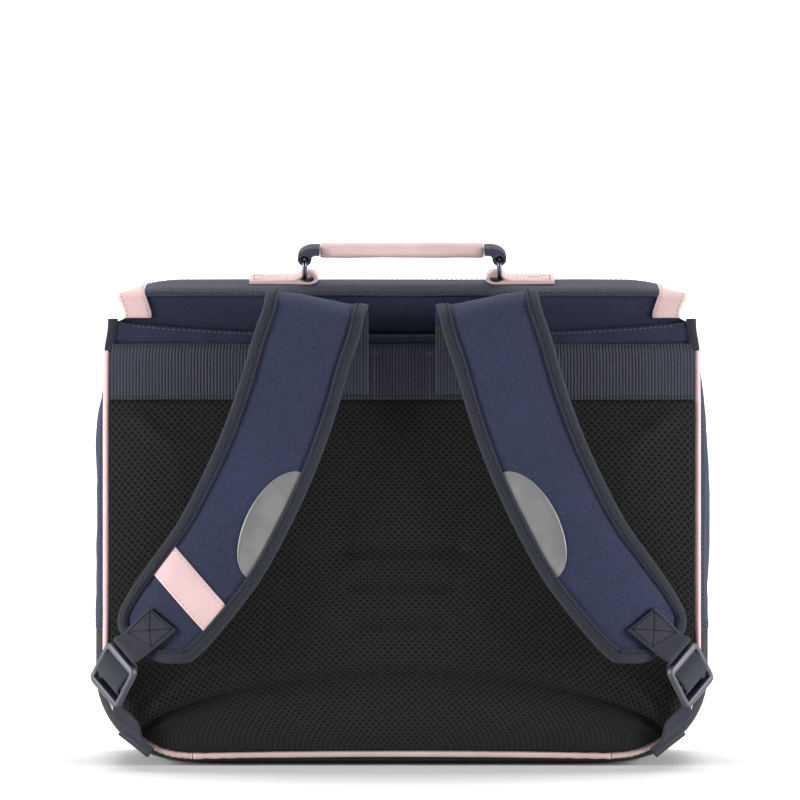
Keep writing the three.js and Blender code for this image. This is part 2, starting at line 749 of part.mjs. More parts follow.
// Binding tape folded over both edges and round the lower end
function addStrapBinding(label, strap) {
  const down = strapRowsFrom(strap, bindingStart);
  const route = [
    ...down.map((u) => ({ u, v: -1 })),
    ...steps(-1, 1, 5).slice(1, -1).map((v) => ({ u: strap.last, v })),
    ...down.slice().reverse().map((u) => ({ u, v: 1 })),
  ];
  const edge = route.map((place) => {
    const frame = strapFrame(strap, place.u);
    const point = frame.middle.clone().addScaledVector(frame.across, place.v * frame.half);
    return { point, frame };
  });
  const section = (half) => {
    const inner = half + bindingGap;
    const outer = inner + bindingThickness;
    return [
      [0, -outer], [bindingWidth, -outer], [bindingWidth, -inner], [bindingThickness, -inner],
      [bindingThickness, inner], [bindingWidth, inner], [bindingWidth, outer], [0, outer],
    ];
  };
  const count = 8;
  const positions = [];
  edge.forEach(({ point, frame }, i) => {
    const before = edge[Math.max(0, i - 1)].point;
    const after = edge[Math.min(edge.length - 1, i + 1)].point;
    const along = after.clone().sub(before).normalize();
    const inward = new THREE.Vector3().crossVectors(along, frame.out)
      .multiplyScalar(strap.side).normalize();
    for (const [a, b] of section(strapHalfThickness(frame, frame.half))) {
      const corner = point.clone().addScaledVector(inward, a).addScaledVector(frame.out, b);
      positions.push(corner.x, corner.y, corner.z);
    }
  });
  const index = [];
  for (let i = 0; i < edge.length - 1; i += 1) {
    for (let k = 0; k < count; k += 1) {
      const a = i * count + k;
      const b = i * count + (k + 1) % count;
      index.push(a, b, a + count, b, b + count, a + count);
    }
  }
  const caps = [[0, 1, 2], [0, 2, 3], [0, 3, 4], [0, 4, 7], [4, 5, 6], [4, 6, 7]];
  const last = (edge.length - 1) * count;
  for (const [a, b, c] of caps) index.push(a, c, b, last + a, last + b, last + c);
  const geometry = new THREE.BufferGeometry();
  geometry.setAttribute('position', new THREE.Float32BufferAttribute(positions, 3));
  geometry.setIndex(index);
  add(`strap_binding_${label}`, geometry, 'greyBinding');
}

// Half-round reflector against the inner binding
function addReflector(label, strap) {
  const geometry = bentBox(steps(-1, 1, 10), [0, 0.5, 1], [0, 1], (u, v, w) => {
    const row = reflectorMiddle + reflectorReach * u;
    const depth = reflectorDepth * Math.sqrt(Math.max(0.004, 1 - u * u));
    const x = paddedHalf(strapFrame(strap, row)) - seamGap - depth * v;
    return strapPoint(strap, row, x, patchGap + patchThickness * w);
  });
  add(`reflector_${label}`, geometry, 'silverReflector');
}

// Plain patch across one strap
function addStrapPatch(strap) {
  const half = patchWidth / 2;
  const rowLength = strapFrame(strap, patchMiddle - 0.5).middle
    .distanceTo(strapFrame(strap, patchMiddle + 0.5).middle);
  const reach = half / rowLength;
  const side = paddedHalf(strapFrame(strap, patchMiddle)) - seamGap;
  const columns = strapColumns.slice(1, -1).map((share) => share * side);
  const geometry = bentBox(steps(-1, 1, 3), columns, [0, 1], (u, x, w) => (
    strapPoint(strap, patchMiddle + reach * u, x, patchGap + patchThickness * w)
  ));
  add('strap_patch_left', geometry, 'pinkLeather');
}

// A band of webbing along rows that give its middle and the way across it
function band(rows, width, thickness) {
  const curve = new THREE.CatmullRomCurve3(rows.map((row) => row.middle), false, 'centripetal');
  const last = rows.length - 1;
  return bentBox([...rows.keys()], steps(-1, 1, 5), [-1, 1], (u, v, w) => {
    const tangent = curve.getTangent(u / last);
    const across = rows[u].across.clone().normalize();
    const out = new THREE.Vector3().crossVectors(across, tangent).normalize();
    return rows[u].middle.clone()
      .addScaledVector(across, v * width / 2)
      .addScaledVector(out, w * thickness / 2);
  });
}

// Buckle frame: a across towards the middle of the back, b down the buckle, n out of its face
function buckleFrame(side) {
  const across = new THREE.Vector3(side * buckleAcross[0], buckleAcross[1], buckleAcross[2]).normalize();
  const down = new THREE.Vector3(side * buckleDown[0], buckleDown[1], buckleDown[2]);
  down.addScaledVector(across, -down.dot(across)).normalize();
  const out = new THREE.Vector3().crossVectors(across, down).multiplyScalar(side);
  const top = new THREE.Vector3(side * buckleOut, -buckleBack, buckleHeight);
  const place = (b, n) => top.clone().addScaledVector(down, b).addScaledVector(out, n);
  return { across, down, out, top, place };
}

function roundedOutline(path, x0, y0, x1, y1, radius) {
  path.moveTo(x0 + radius, y0);
  path.lineTo(x1 - radius, y0);
  path.absarc(x1 - radius, y0 + radius, radius, -Math.PI / 2, 0, false);
  path.lineTo(x1, y1 - radius);
  path.absarc(x1 - radius, y1 - radius, radius, 0, Math.PI / 2, false);
  path.lineTo(x0 + radius, y1);
  path.absarc(x0 + radius, y1 - radius, radius, Math.PI / 2, Math.PI, false);
  path.lineTo(x0, y0 + radius);
  path.absarc(x0 + radius, y0 + radius, radius, Math.PI, 1.5 * Math.PI, false);
  return path;
}

const buckleWindow = (buckleLength - 3 * buckleBar) / 2;

function addBuckle(label, frame) {
  const half = buckleWidth / 2;
  const outline = roundedOutline(new THREE.Shape(), -half, 0, half, buckleLength, 3);
  for (const start of [buckleBar, 2 * buckleBar + buckleWindow]) {
    const window = new THREE.Path();
    window.moveTo(-half + buckleRail, start);
    window.lineTo(-half + buckleRail, start + buckleWindow);
    window.lineTo(half - buckleRail, start + buckleWindow);
    window.lineTo(half - buckleRail, start);
    window.closePath();
    outline.holes.push(window);
  }
  const geometry = new THREE.ExtrudeGeometry(outline, {
    depth: buckleThickness, bevelEnabled: false, curveSegments: 3,
  });
  geometry.translate(0, 0, -buckleThickness / 2);
  const basis = new THREE.Matrix4().makeBasis(frame.across, frame.down, frame.out);
  geometry.applyMatrix4(basis);
  geometry.translate(frame.top.x, frame.top.y, frame.top.z);
  add(`buckle_${label}`, geometry, 'darkPlastic');
}

// Webbing sewn on the strap's lower end and looped over the buckle's top bar
function addStrapTab(label, strap, buckle) {
  const over = buckleThickness / 2 + seamGap + webbingThickness / 2 + webbingLoose;
  const overBinding = strapEdgeThickness / 2 + bindingGap + bindingThickness;
  const rows = [
    { u: strap.last - 1.9, x: -1 },
    { u: strap.last - 1.2, x: -3 },
    { u: strap.last - 0.5, x: -6 },
  ].map(({ u, x }) => {
    const frame = strapFrame(strap, u);
    const surface = strapHalfThickness(frame, x);
    const lift = Math.max(overBinding - surface, 0) + 2 * patchGap + webbingThickness / 2;
    return { middle: strapPoint(strap, u, x, lift), across: frame.across };
  });
  const overBar = [
    { down: -2, out: over },
    { down: buckleBar / 2, out: over },
    { down: buckleBar + 1.2, out: over - 0.2 },
    { down: buckleBar + 5, out: 0 },
  ];
  for (const { down, out } of overBar) {
    rows.push({ middle: buckle.place(down, out), across: buckle.across });
  }
  add(`strap_tab_${label}`, band(rows, narrowWebbing, webbingThickness), 'greyWebbing');
}

// Webbing from the lower corner seam up through the buckle and over its middle bar
function addLowerWebbing(label, side, buckle) {
  const over = buckleThickness / 2 + seamGap + webbingThickness / 2 + webbingLoose;
  const turn = webbingCornerAngle * Math.PI / 180;
  const across = new THREE.Vector3(-side * Math.sin(turn), 0, -Math.cos(turn));
  const corner = (outward, y) => new THREE.Vector3(
    side * (cornerOut + (cornerRadius + outward) * Math.cos(turn)),
    y,
    cornerHeight - (cornerRadius + outward) * Math.sin(turn),
  );
  const aroundPiping = pipingDiameter / 2 + patchGap + webbingThickness / 2;
  const swell = sideBulge * Math.cos(turn) + pipingHeight * Math.sin(turn);
  const sewnOut = bulgeShare(webbingWrap / caseDepth) * swell + wall / 2 + seamGap + webbingThickness / 2;
  const front = corner(0.5, pipingOffset - aroundPiping - 0.8);
  const behindBuckle = buckle.place(buckleLength + 2, -over - 1);
  const rising = front.clone().lerp(behindBuckle, 0.5);
  rising.y -= webbingSlack;
  const lowWindow = 2 * buckleBar + buckleWindow;
  const rows = [
    { middle: corner(sewnOut, webbingWrap), across },
    { middle: corner(aroundPiping + 1.2, gussetStart + 1), across },
    { middle: corner(aroundPiping + 0.4, 0.2), across },
    { middle: front, across },
    { middle: rising, across: across.clone().lerp(buckle.across, 0.5) },
    { middle: behindBuckle, across: buckle.across },
    { middle: buckle.place(buckleLength - buckleBar - 0.5, -over - 0.7), across: buckle.across },
    { middle: buckle.place(lowWindow + buckleWindow / 2 + 0.6, -0.1), across: buckle.across },
    { middle: buckle.place(lowWindow + 1.1, over - 0.2), across: buckle.across },
    { middle: buckle.place(lowWindow - buckleBar / 2, over), across: buckle.across },
    { middle: buckle.place(lowWindow - buckleBar - 1.4, over - 0.5), across: buckle.across },
  ];
  add(`lower_webbing_${label}`, band(rows, narrowWebbing, webbingThickness), 'greyWebbing');
}

for (const [label, side] of [['left', -1], ['right', 1]]) {
  const strap = strapSections(side);
  const buckle = buckleFrame(side);
  addStrap(label, strap);
  addStrapBinding(label, strap);
  addReflector(label, strap);
  if (side < 0) addStrapPatch(strap);
  addBuckle(label, buckle);
  addStrapTab(label, strap, buckle);
  addLowerWebbing(label, side, buckle);
}

// Two plain clasps over the lid's front edge
function addClasp(label, side) {
  const half = claspWidth / 2;
  const outline = roundedOutline(new THREE.Shape(), -half, 0, half, claspHeight, claspCorner);
  const geometry = new THREE.ExtrudeGeometry(outline, {
    depth: claspThickness - 2 * claspBevel,
    bevelEnabled: true,
    bevelThickness: claspBevel,
    bevelSize: claspBevel,
    bevelSegments: 1,
    curveSegments: 3,
  });
  geometry.rotateX(Math.PI / 2);
  geometry.translate(
    side * claspSpacing,
    lidFront + seamGap + claspThickness - claspBevel,
    lidFrontEnd + claspRise,
  );
  add(`clasp_${label}`, geometry, 'darkPlastic');
}

addClasp('left', -1);
addClasp('right', 1);

// The origin is the middle of the object's outer box, on the surface it stands on
const outerBox = new THREE.Box3().setFromObject(satchel, true);
const centre = outerBox.getCenter(new THREE.Vector3());
satchel.position.set(-centre.x, -centre.y, -outerBox.min.z);

export default satchel;
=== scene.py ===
# A stiff school satchel, dressed in cloth, webbing, leather and stitching over its solid parts
# Lengths are in metres. The side with the shoulder straps faces -Y, +X is to its right and +Z is up.
import math
from functools import lru_cache

import bmesh
import bpy
import numpy as np
from bpy.props import FloatProperty, FloatVectorProperty, IntProperty, PointerProperty
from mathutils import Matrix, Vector, noise


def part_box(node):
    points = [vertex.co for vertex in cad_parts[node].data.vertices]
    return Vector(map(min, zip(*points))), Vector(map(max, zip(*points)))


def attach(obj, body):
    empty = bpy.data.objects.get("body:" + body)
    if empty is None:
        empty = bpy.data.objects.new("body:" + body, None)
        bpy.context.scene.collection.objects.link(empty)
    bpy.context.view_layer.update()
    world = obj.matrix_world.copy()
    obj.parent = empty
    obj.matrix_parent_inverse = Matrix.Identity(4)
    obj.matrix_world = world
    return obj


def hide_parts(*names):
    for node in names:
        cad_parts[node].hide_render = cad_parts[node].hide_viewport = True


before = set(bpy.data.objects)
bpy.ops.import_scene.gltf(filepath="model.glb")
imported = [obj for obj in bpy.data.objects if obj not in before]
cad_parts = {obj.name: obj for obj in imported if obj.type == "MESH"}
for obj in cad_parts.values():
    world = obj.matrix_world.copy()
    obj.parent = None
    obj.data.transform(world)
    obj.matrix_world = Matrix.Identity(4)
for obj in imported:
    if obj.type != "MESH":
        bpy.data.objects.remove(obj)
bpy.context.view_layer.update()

bl_info = {
    "name": "School Satchel",
    "version": (1, 0, 0),
    "blender": (4, 5, 0),
    "location": "View3D > Sidebar > Satchel",
    "description": "Makes the cloth, webbing, leather, hardware and stitching of a school satchel",
    "category": "Add Mesh",
}


def node_box(node):
    low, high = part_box(node)
    return np.array(low), np.array(high)


# Case
REAR = node_box("back_panel")[0][1]
CASE_FRONT = node_box("front_panel")[1][1]
FRONT_THICKNESS = CASE_FRONT - node_box("front_panel")[0][1]
PIPING_RADIUS = 0.00225
PIPING_OFFSET = 0.001
CASE_HALF = node_box("piping_right")[1][0] - PIPING_RADIUS
CASE_DEPTH = CASE_FRONT - REAR
CORNER_RADIUS = 0.058
PIPING_HEIGHT = 0.007
CORNER_HEIGHT = PIPING_HEIGHT + CORNER_RADIUS
CORNER_OUT = CASE_HALF - CORNER_RADIUS
WALL = 0.0025
SIDE_BULGE = 0.010
BULGE_FADE = 0.100
GUSSET_TOP = 0.299
GUSSET_RISE = 0.007
GUSSET_TUCK = 0.013
GUSSET_START = 0.00355
TOP_NARROWING = 0.003
TOP_FADE = 0.025
BASE_SIDE_TOP = node_box("base_panel")[1][2]
BACK_TOP = 0.291
BACK_TOP_RISE = 0.008
BACK_BOARD = 0.004
SEAM_GAP = 0.0003

# Back pad and broad webbing
PAD_TOP = node_box("back_mesh_pad")[1][2]
PAD_EDGE = 0.0025
PAD_THICKNESS = 0.008
GROOVE_HEIGHT = 0.0615
GROOVE_DROP = 0.038
PIPING_SPLICE = 0.141
PIPING_TOP = 0.280
PIPING_ARCH = 0.0015
WEBBING_LOW, WEBBING_HIGH = (corner[2] for corner in node_box("back_webbing"))
WEBBING_THICKNESS = 0.0016

# Lid
LID_HALF = node_box("lid")[1][0]
LID_THICKNESS = 0.003
LID_RISE = 0.031
LID_SEAM_RISE = 0.006
LID_FRONT_END = node_box("lid")[0][2]
LID_EAR_TAPER = 0.005
LID_SHOULDER = 0.042
LID_SHOULDER_DROP = 0.009
TRIM_WIDTH = 0.018
TRIM_THICKNESS = 0.0012
TRIM_GAP = 0.0006
PATCH_GAP = 0.0005

# Handle
HANDLE_SLOPE = math.radians(14)
HANDLE_BACK = 0.030
GRIP_HALF = 0.0555
GRIP_RADIUS = 0.0052
GRIP_LIFT = 0.022
RING_SPACING = 0.066
RING_WIRE = 0.003
RING_LENGTH = 0.024
RING_HEIGHT = 0.0135
RING_BEND = 0.004
LOOP_WIDTH = 0.020
LOOP_THICKNESS = 0.0027
TAB_LENGTH = 0.0375
TAB_THICKNESS = 0.003

# Shoulder straps
STRAP_WIDTH = 0.068
STRAP_THICKNESS = 0.0105
STRAP_EDGE = 0.006
FLAP_THICKNESS = 0.004
FLAP_MIDDLE = 0.055
FLAP_SEWN = 0.028
FLAP_HEM = 0.006
FOLD_TOP = 0.3175
FOLD_OUT = 0.0596
STRAP_END_OUT = 0.172
STRAP_END_HEIGHT = 0.076
STANDOFF = 0.031
BINDING_WIDTH = 0.0085
BINDING_THICKNESS = 0.001
FOLD_LAST = 9
BINDING_START = 4
REFLECTOR_DEPTH = 0.021
REFLECTOR_MIDDLE = 13.15
REFLECTOR_REACH = 1.0
PATCH_WIDTH = 0.023
PATCH_MIDDLE = 15.05
PATCH_TILT = 0.18

# Narrow webbing and buckles
NARROW_WEBBING = 0.025
BUCKLE_WIDTH = 0.032
BUCKLE_LENGTH = 0.034
BUCKLE_THICKNESS = 0.005
BUCKLE_RAIL = 0.0029
BUCKLE_BAR = 0.005
BUCKLE_WINDOW = (BUCKLE_LENGTH - 3 * BUCKLE_BAR) / 2
BUCKLE_PLACE = (0.186, 0.028, 0.076)
BUCKLE_ACROSS = (-0.574, -0.533, -0.614)
BUCKLE_DOWN = (0.41, 0.46, -0.774)
WEBBING_CORNER = math.radians(52)
WEBBING_WRAP = 0.012
WEBBING_LOOSE = 0.0003

# Rows of a strap below its fold: shares of the way out, down and off the back, lean and roll in degrees
STRAP_ROWS = (
    {"out": 0.000, "down": 0.000, "off": 0.82, "lean": 14, "roll": 0, "wide": 1.00, "puff": 1.0},
    {"out": 0.067, "down": 0.098, "off": 0.92, "lean": 16, "roll": 0, "wide": 1.00, "puff": 1.0},
    {"out": 0.152, "down": 0.245, "off": 0.99, "lean": 18, "roll": 0, "wide": 1.00, "puff": 1.0},
    {"out": 0.258, "down": 0.392, "off": 1.00, "lean": 22, "roll": 0, "wide": 1.00, "puff": 1.0},
    {"out": 0.391, "down": 0.539, "off": 0.98, "lean": 28, "roll": 1, "wide": 1.00, "puff": 1.0},
    {"out": 0.550, "down": 0.686, "off": 0.94, "lean": 33, "roll": 4, "wide": 1.00, "puff": 1.0},
    {"out": 0.722, "down": 0.804, "off": 0.90, "lean": 37, "roll": 10, "wide": 1.00, "puff": 1.0},
    {"out": 0.859, "down": 0.891, "off": 0.87, "lean": 39, "roll": 17, "wide": 0.99, "puff": 0.8},
    {"out": 0.947, "down": 0.950, "off": 0.86, "lean": 41, "roll": 22, "wide": 0.93, "puff": 0.0},
    {"out": 1.000, "down": 1.000, "off": 0.85, "lean": 42, "roll": 25, "wide": 0.70, "puff": 0.0},
)

# Rows of the lid from its sewn edge over the top: shares of its depth and rise
LID_ROWS = (
    {"deep": 0.001, "up": -0.16, "taper": 1.0, "droop": 0.0},
    {"deep": 0.004, "up": 0.28, "taper": 1.0, "droop": 0.0},
    {"deep": 0.015, "up": 0.60, "taper": 0.2, "droop": 0.1},
    {"deep": 0.042, "up": 0.75, "taper": 0.0, "droop": 0.35},
    {"deep": 0.103, "up": 0.83, "taper": 0.0, "droop": 0.7},
    {"deep": 0.188, "up": 0.92, "taper": 0.0, "droop": 0.95},
    {"deep": 0.273, "up": 0.97, "taper": 0.0, "droop": 1.0},
    {"deep": 0.485, "up": 1.00, "taper": 0.0, "droop": 1.0},
    {"deep": 0.697, "up": 0.96, "taper": 0.0, "droop": 1.0},
    {"deep": 0.848, "up": 0.87, "taper": 0.0, "droop": 1.0},
    {"deep": 0.927, "up": 0.70, "taper": 0.0, "droop": 0.8},
    {"deep": 0.979, "up": 0.36, "taper": 0.0, "droop": 0.4},
    {"deep": 1.000, "up": -0.10, "taper": 0.0, "droop": 0.0},
)


class SatchelSizes(bpy.types.PropertyGroup):
    """Sizes of the fine detail"""

    stitch_pitch: FloatProperty(
        name="Stitch Pitch", description="Distance from one stitch to the next",
        default=0.0034, unit="LENGTH")
    stitch_length: FloatProperty(
        name="Stitch Length", description="Length of one stitch", default=0.0024, unit="LENGTH")
    thread: FloatProperty(
        name="Thread", description="Diameter of the sewing thread", default=0.0005, unit="LENGTH")
    zigzag: FloatProperty(
        name="Zigzag", description="Turn of each stitch on the binding", default=0.75, subtype="ANGLE")
    rib_pitch: FloatProperty(
        name="Rib Pitch", description="Distance between the ribs of the broad webbing",
        default=0.00218, unit="LENGTH")
    rib_depth: FloatProperty(
        name="Rib Depth", description="Depth of the ribs of the webbing", default=0.0004, unit="LENGTH")
    hole_width: FloatProperty(
        name="Hole Spacing", description="Distance between the holes of one row of the mesh",
        default=0.00465, unit="LENGTH")
    hole_height: FloatProperty(
        name="Hole Rows", description="Distance between the rows of holes of the mesh",
        default=0.00225, unit="LENGTH")
    twill_pitch: FloatProperty(
        name="Twill Pitch", description="Distance between the diagonals of the twill",
        default=0.0011, unit="LENGTH")
    seed: IntProperty(name="Seed", description="Seed of the small unevenness of the stitches", default=4)


class SatchelColours(bpy.types.PropertyGroup):
    """Colours of the materials"""

    panel: FloatVectorProperty(
        name="Panel", description="Navy cloth of the case and lid", subtype="COLOR",
        default=(0.0165, 0.0205, 0.0455))
    strap: FloatVectorProperty(
        name="Strap", description="Navy twill of the shoulder straps", subtype="COLOR",
        default=(0.0215, 0.0275, 0.0600))
    base: FloatVectorProperty(
        name="Base", description="Coated cloth of the base", subtype="COLOR",
        default=(0.010, 0.010, 0.013))
    mesh: FloatVectorProperty(
        name="Mesh", description="Spacer mesh of the back", subtype="COLOR",
        default=(0.0072, 0.0071, 0.0069))
    webbing: FloatVectorProperty(
        name="Webbing", description="Webbing on the back, the handle and the buckles", subtype="COLOR",
        default=(0.034, 0.036, 0.053))
    binding: FloatVectorProperty(
        name="Binding", description="Binding tape of the straps", subtype="COLOR",
        default=(0.0200, 0.0215, 0.0325))
    leather: FloatVectorProperty(
        name="Leather", description="Pink leather of the trims, grip and piping", subtype="COLOR",
        default=(0.640, 0.460, 0.455))
    reflector: FloatVectorProperty(
        name="Reflector", description="Reflective cloth", subtype="COLOR",
        default=(0.200, 0.200, 0.203))
    metal: FloatVectorProperty(
        name="Metal", description="Dark polished metal of the rings", subtype="COLOR",
        default=(0.080, 0.084, 0.102))
    plastic: FloatVectorProperty(
        name="Plastic", description="Moulded plastic of the buckles", subtype="COLOR",
        default=(0.055, 0.057, 0.073))


def smooth(low, high, value):
    share = np.clip((value - low) / (high - low), 0, 1)
    return share * share * (3 - 2 * share)


def mixed(first, second, share):
    return first + (second - first) * share


def unit(vector):
    return vector / max(np.linalg.norm(vector), 1e-12)


def ripple(point, size, amount, seed=0.0):
    """A smooth unevenness of cloth at a point"""
    return amount * noise.noise(Vector(point) / size + Vector((seed, seed * 0.7, 3.1)))


class Route:
    """A smooth curve through points, each at a whole value of u"""

    def __init__(self, points):
        points = np.asarray(points, float)
        ends = (2 * points[:1] - points[1:2], 2 * points[-1:] - points[-2:-1])
        self.points = np.vstack([ends[0], points, ends[1]])
        self.last = len(points) - 1

    @lru_cache(maxsize=None)
    def place(self, u):
        first = min(max(int(u), 0), self.last - 1)
        share = u - first
        p = self.points[first:first + 4]
        before, here, after = (max(math.sqrt(np.linalg.norm(gap)), 1e-6) for gap in np.diff(p, axis=0))
        leave = ((p[1] - p[0]) / before - (p[2] - p[0]) / (before + here) + (p[2] - p[1]) / here) * here
        reach = ((p[2] - p[1]) / here - (p[3] - p[1]) / (here + after) + (p[3] - p[2]) / after) * here
        square = -3 * p[1] + 3 * p[2] - 2 * leave - reach
        cube = 2 * p[1] - 2 * p[2] + leave + reach
        return p[1] + share * (leave + share * (square + share * cube))

    @lru_cache(maxsize=None)
    def along(self, u):
        low, high = max(u - 1e-3, 0), min(u + 1e-3, self.last)
        return unit(self.place(high) - self.place(low))

    def even(self, step, start=0.0, stop=None):
        """Values of u that lie about a step apart along the curve"""
        stop = self.last if stop is None else stop
        tries = np.linspace(start, stop, 400)
        places = np.array([self.place(u) for u in tries])
        reach = np.concatenate([[0], np.cumsum(np.linalg.norm(np.diff(places, axis=0), axis=1))])
        count = max(2, round(reach[-1] / step))
        return np.interp(np.linspace(0, reach[-1], count + 1), reach, tries)


class Form:
    """Points, faces and flat cloth coordinates of a mesh"""

    def __init__(self, points, faces, flat):
        self.points = np.asarray(points, float)
        self.faces = faces
        self.flat = flat

    def joined(self, other):
        shift = len(self.points)
        faces = self.faces + [tuple(i + shift for i in face) for face in other.faces]
        return Form(np.vstack([self.points, other.points]), faces, self.flat + other.flat)


def lengths_along(points):
    gaps = np.linalg.norm(np.diff(points, axis=0), axis=1)
    return np.concatenate([[0], np.cumsum(gaps)])


def slab(us, vs, place, rim=0.0004):
    """A closed sheet with rounded edges, where place(u, v, w) has w 0 on its back and 1 on its face"""
    face = np.array([[place(u, v, 1) for v in vs] for u in us])
    back = np.array([[place(u, v, 0) for v in vs] for u in us])
    return sheet_between(face, back, rim)


def sheet_between(face, back, rim):
    rows, columns = face.shape[:2]
    down = lengths_along(face[:, columns // 2])
    across = lengths_along(face[rows // 2])
    index = np.arange(rows * columns).reshape(rows, columns)
    flat = np.stack(np.meshgrid(across, down), axis=2).reshape(-1, 2)
    ring = list(index[0, :-1]) + list(index[:-1, -1]) + list(index[-1, :0:-1]) + list(index[:0:-1, 0])
    middle = (face + back) / 2
    outward = np.zeros_like(middle)
    outward[0] += middle[0] - middle[1]
    outward[-1] += middle[-1] - middle[-2]
    outward[:, 0] += middle[:, 0] - middle[:, 1]
    outward[:, -1] += middle[:, -1] - middle[:, -2]
    middle, outward = middle.reshape(-1, 3), outward.reshape(-1, 3)
    rim_points = [middle[i] + unit(outward[i]) * rim for i in ring]
    points = np.vstack([face.reshape(-1, 3), back.reshape(-1, 3), rim_points])
    spots = np.vstack([flat, flat, flat[ring]])
    faces = []
    for i in range(rows - 1):
        for j in range(columns - 1):
            a, b, c, d = index[i, j], index[i, j + 1], index[i + 1, j + 1], index[i + 1, j]
            faces.append((a, b, c, d))
            faces.append(tuple(k + rows * columns for k in (d, c, b, a)))
    start = 2 * rows * columns
    for i, first in enumerate(ring):
        after = (i + 1) % len(ring)
        second = ring[after]
        faces.append((first, start + i, start + after, second))
        faces.append((start + i, first + rows * columns, second + rows * columns, start + after))
    return Form(points, faces, [[spots[k] for k in face] for face in faces])


def tube(rows, closed=False):
    """A closed bar through rows of points round it"""
    rows = np.asarray(rows, float)
    count, sides = rows.shape[:2]
    down = lengths_along(np.vstack([rows, rows[:1]]).mean(axis=1))
    around = lengths_along(np.vstack([rows[count // 2], rows[count // 2][:1]]))
    faces, flat = [], []
    for i in range(count if closed else count - 1):
        for j in range(sides):
            after, beside = (i + 1) % count, (j + 1) % sides
            faces.append((i * sides + j, i * sides + beside, after * sides + beside, after * sides + j))
            spots = ((j, i), (j + 1, i), (j + 1, i + 1), (j, i + 1))
            flat.append([(around[a], down[b]) for a, b in spots])
    if not closed:
        for start in (0, (count - 1) * sides):
            faces.append(tuple(range(start, start + sides)))
            flat.append([(around[j], down[0]) for j in range(sides)])
    return Form(rows.reshape(-1, 3), faces, flat)


def bar_along(route, radius_at, sides=16, step=0.002, up=(0, -1, 0)):
    """A bar along a route, whose radius at u and at a turn comes from radius_at(u, turn)"""
    rows = []
    for u in route.even(step):
        along = route.along(u)
        first = unit(np.cross(along, up))
        second = np.cross(first, along)
        turns = np.linspace(0, 2 * math.pi, sides, endpoint=False)
        rows.append([
            route.place(u) + radius_at(u, t) * (math.cos(t) * first + math.sin(t) * second) for t in turns])
    return tube(rows)


def new_mesh_object(name, form, finish):
    mesh = bpy.data.meshes.new(name)
    mesh.from_pydata(form.points.tolist(), [], form.faces)
    cloth = mesh.uv_layers.new(name="cloth")
    cloth.data.foreach_set("uv", np.concatenate([np.asarray(spots).ravel() for spots in form.flat]))
    mesh.materials.append(finish)
    work = bmesh.new()
    work.from_mesh(mesh)
    bmesh.ops.recalc_face_normals(work, faces=work.faces)
    if work.calc_volume(signed=True) < 0:
        bmesh.ops.reverse_faces(work, faces=work.faces)
    work.to_mesh(mesh)
    work.free()
    mesh.shade_smooth()
    piece = bpy.data.objects.new(name, mesh)
    bpy.context.scene.collection.objects.link(piece)
    return piece


def settle(piece, slot, *nodes):
    """Fixes a finished piece to the satchel and hides the solids that it stands for"""
    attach(piece, "root")
    if nodes:
        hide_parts(*nodes)
    return piece


def add_piece(name, form, finish, slot, *nodes):
    return settle(new_mesh_object(name, form, finish), slot, *nodes)


def flat_form(name, loops, depth, bevel, place, finish, slot, *nodes):
    """A rounded plate from closed outlines, the first of them outside and the others its holes"""
    curve = bpy.data.curves.new(name, "CURVE")
    curve.dimensions = "2D"
    curve.fill_mode = "BOTH"
    curve.extrude = depth / 2 - bevel
    curve.bevel_depth = bevel
    curve.bevel_resolution = 2
    curve.offset = -bevel
    for loop in loops:
        spline = curve.splines.new("POLY")
        spline.points.add(len(loop) - 1)
        for point, (x, y) in zip(spline.points, loop):
            point.co = (x, y, 0, 1)
        spline.use_cyclic_u = True
    outline = bpy.data.objects.new(name + "_outline", curve)
    bpy.context.scene.collection.objects.link(outline)
    bpy.context.view_layer.update()
    shown = outline.evaluated_get(bpy.context.evaluated_depsgraph_get())
    mesh = bpy.data.meshes.new_from_object(shown)
    bpy.data.objects.remove(outline)
    points = [np.array(vertex.co) for vertex in mesh.vertices]
    work = bmesh.new()
    work.from_mesh(mesh)
    for vertex, point in zip(work.verts, points):
        vertex.co = place(point)
    bmesh.ops.remove_doubles(work, verts=work.verts, dist=1e-6)
    bmesh.ops.recalc_face_normals(work, faces=work.faces)
    if work.calc_volume(signed=True) < 0:
        bmesh.ops.reverse_faces(work, faces=work.faces)
    clean = bpy.data.meshes.new(name)
    work.to_mesh(clean)
    work.free()
    bpy.data.meshes.remove(mesh)
    clean.materials.clear()
    clean.materials.append(finish)
    clean.shade_smooth()
    clean.set_sharp_from_angle(angle=math.radians(50))
    piece = bpy.data.objects.new(name, clean)
    bpy.context.scene.collection.objects.link(piece)
    return settle(piece, slot, *nodes)


def rounded_box(x0, y0, x1, y1, radius, count=6):
    """A closed outline of a rectangle with round corners"""
    centres = ((x1 - radius, y0 + radius, -90), (x1 - radius, y1 - radius, 0),
               (x0 + radius, y1 - radius, 90), (x0 + radius, y0 + radius, 180))
    outline = []
    for x, y, start in centres:
        for turn in np.radians(np.linspace(start, start + 90, count + 1)):
            outline.append((x + radius * math.cos(turn), y + radius * math.sin(turn)))
    return outline


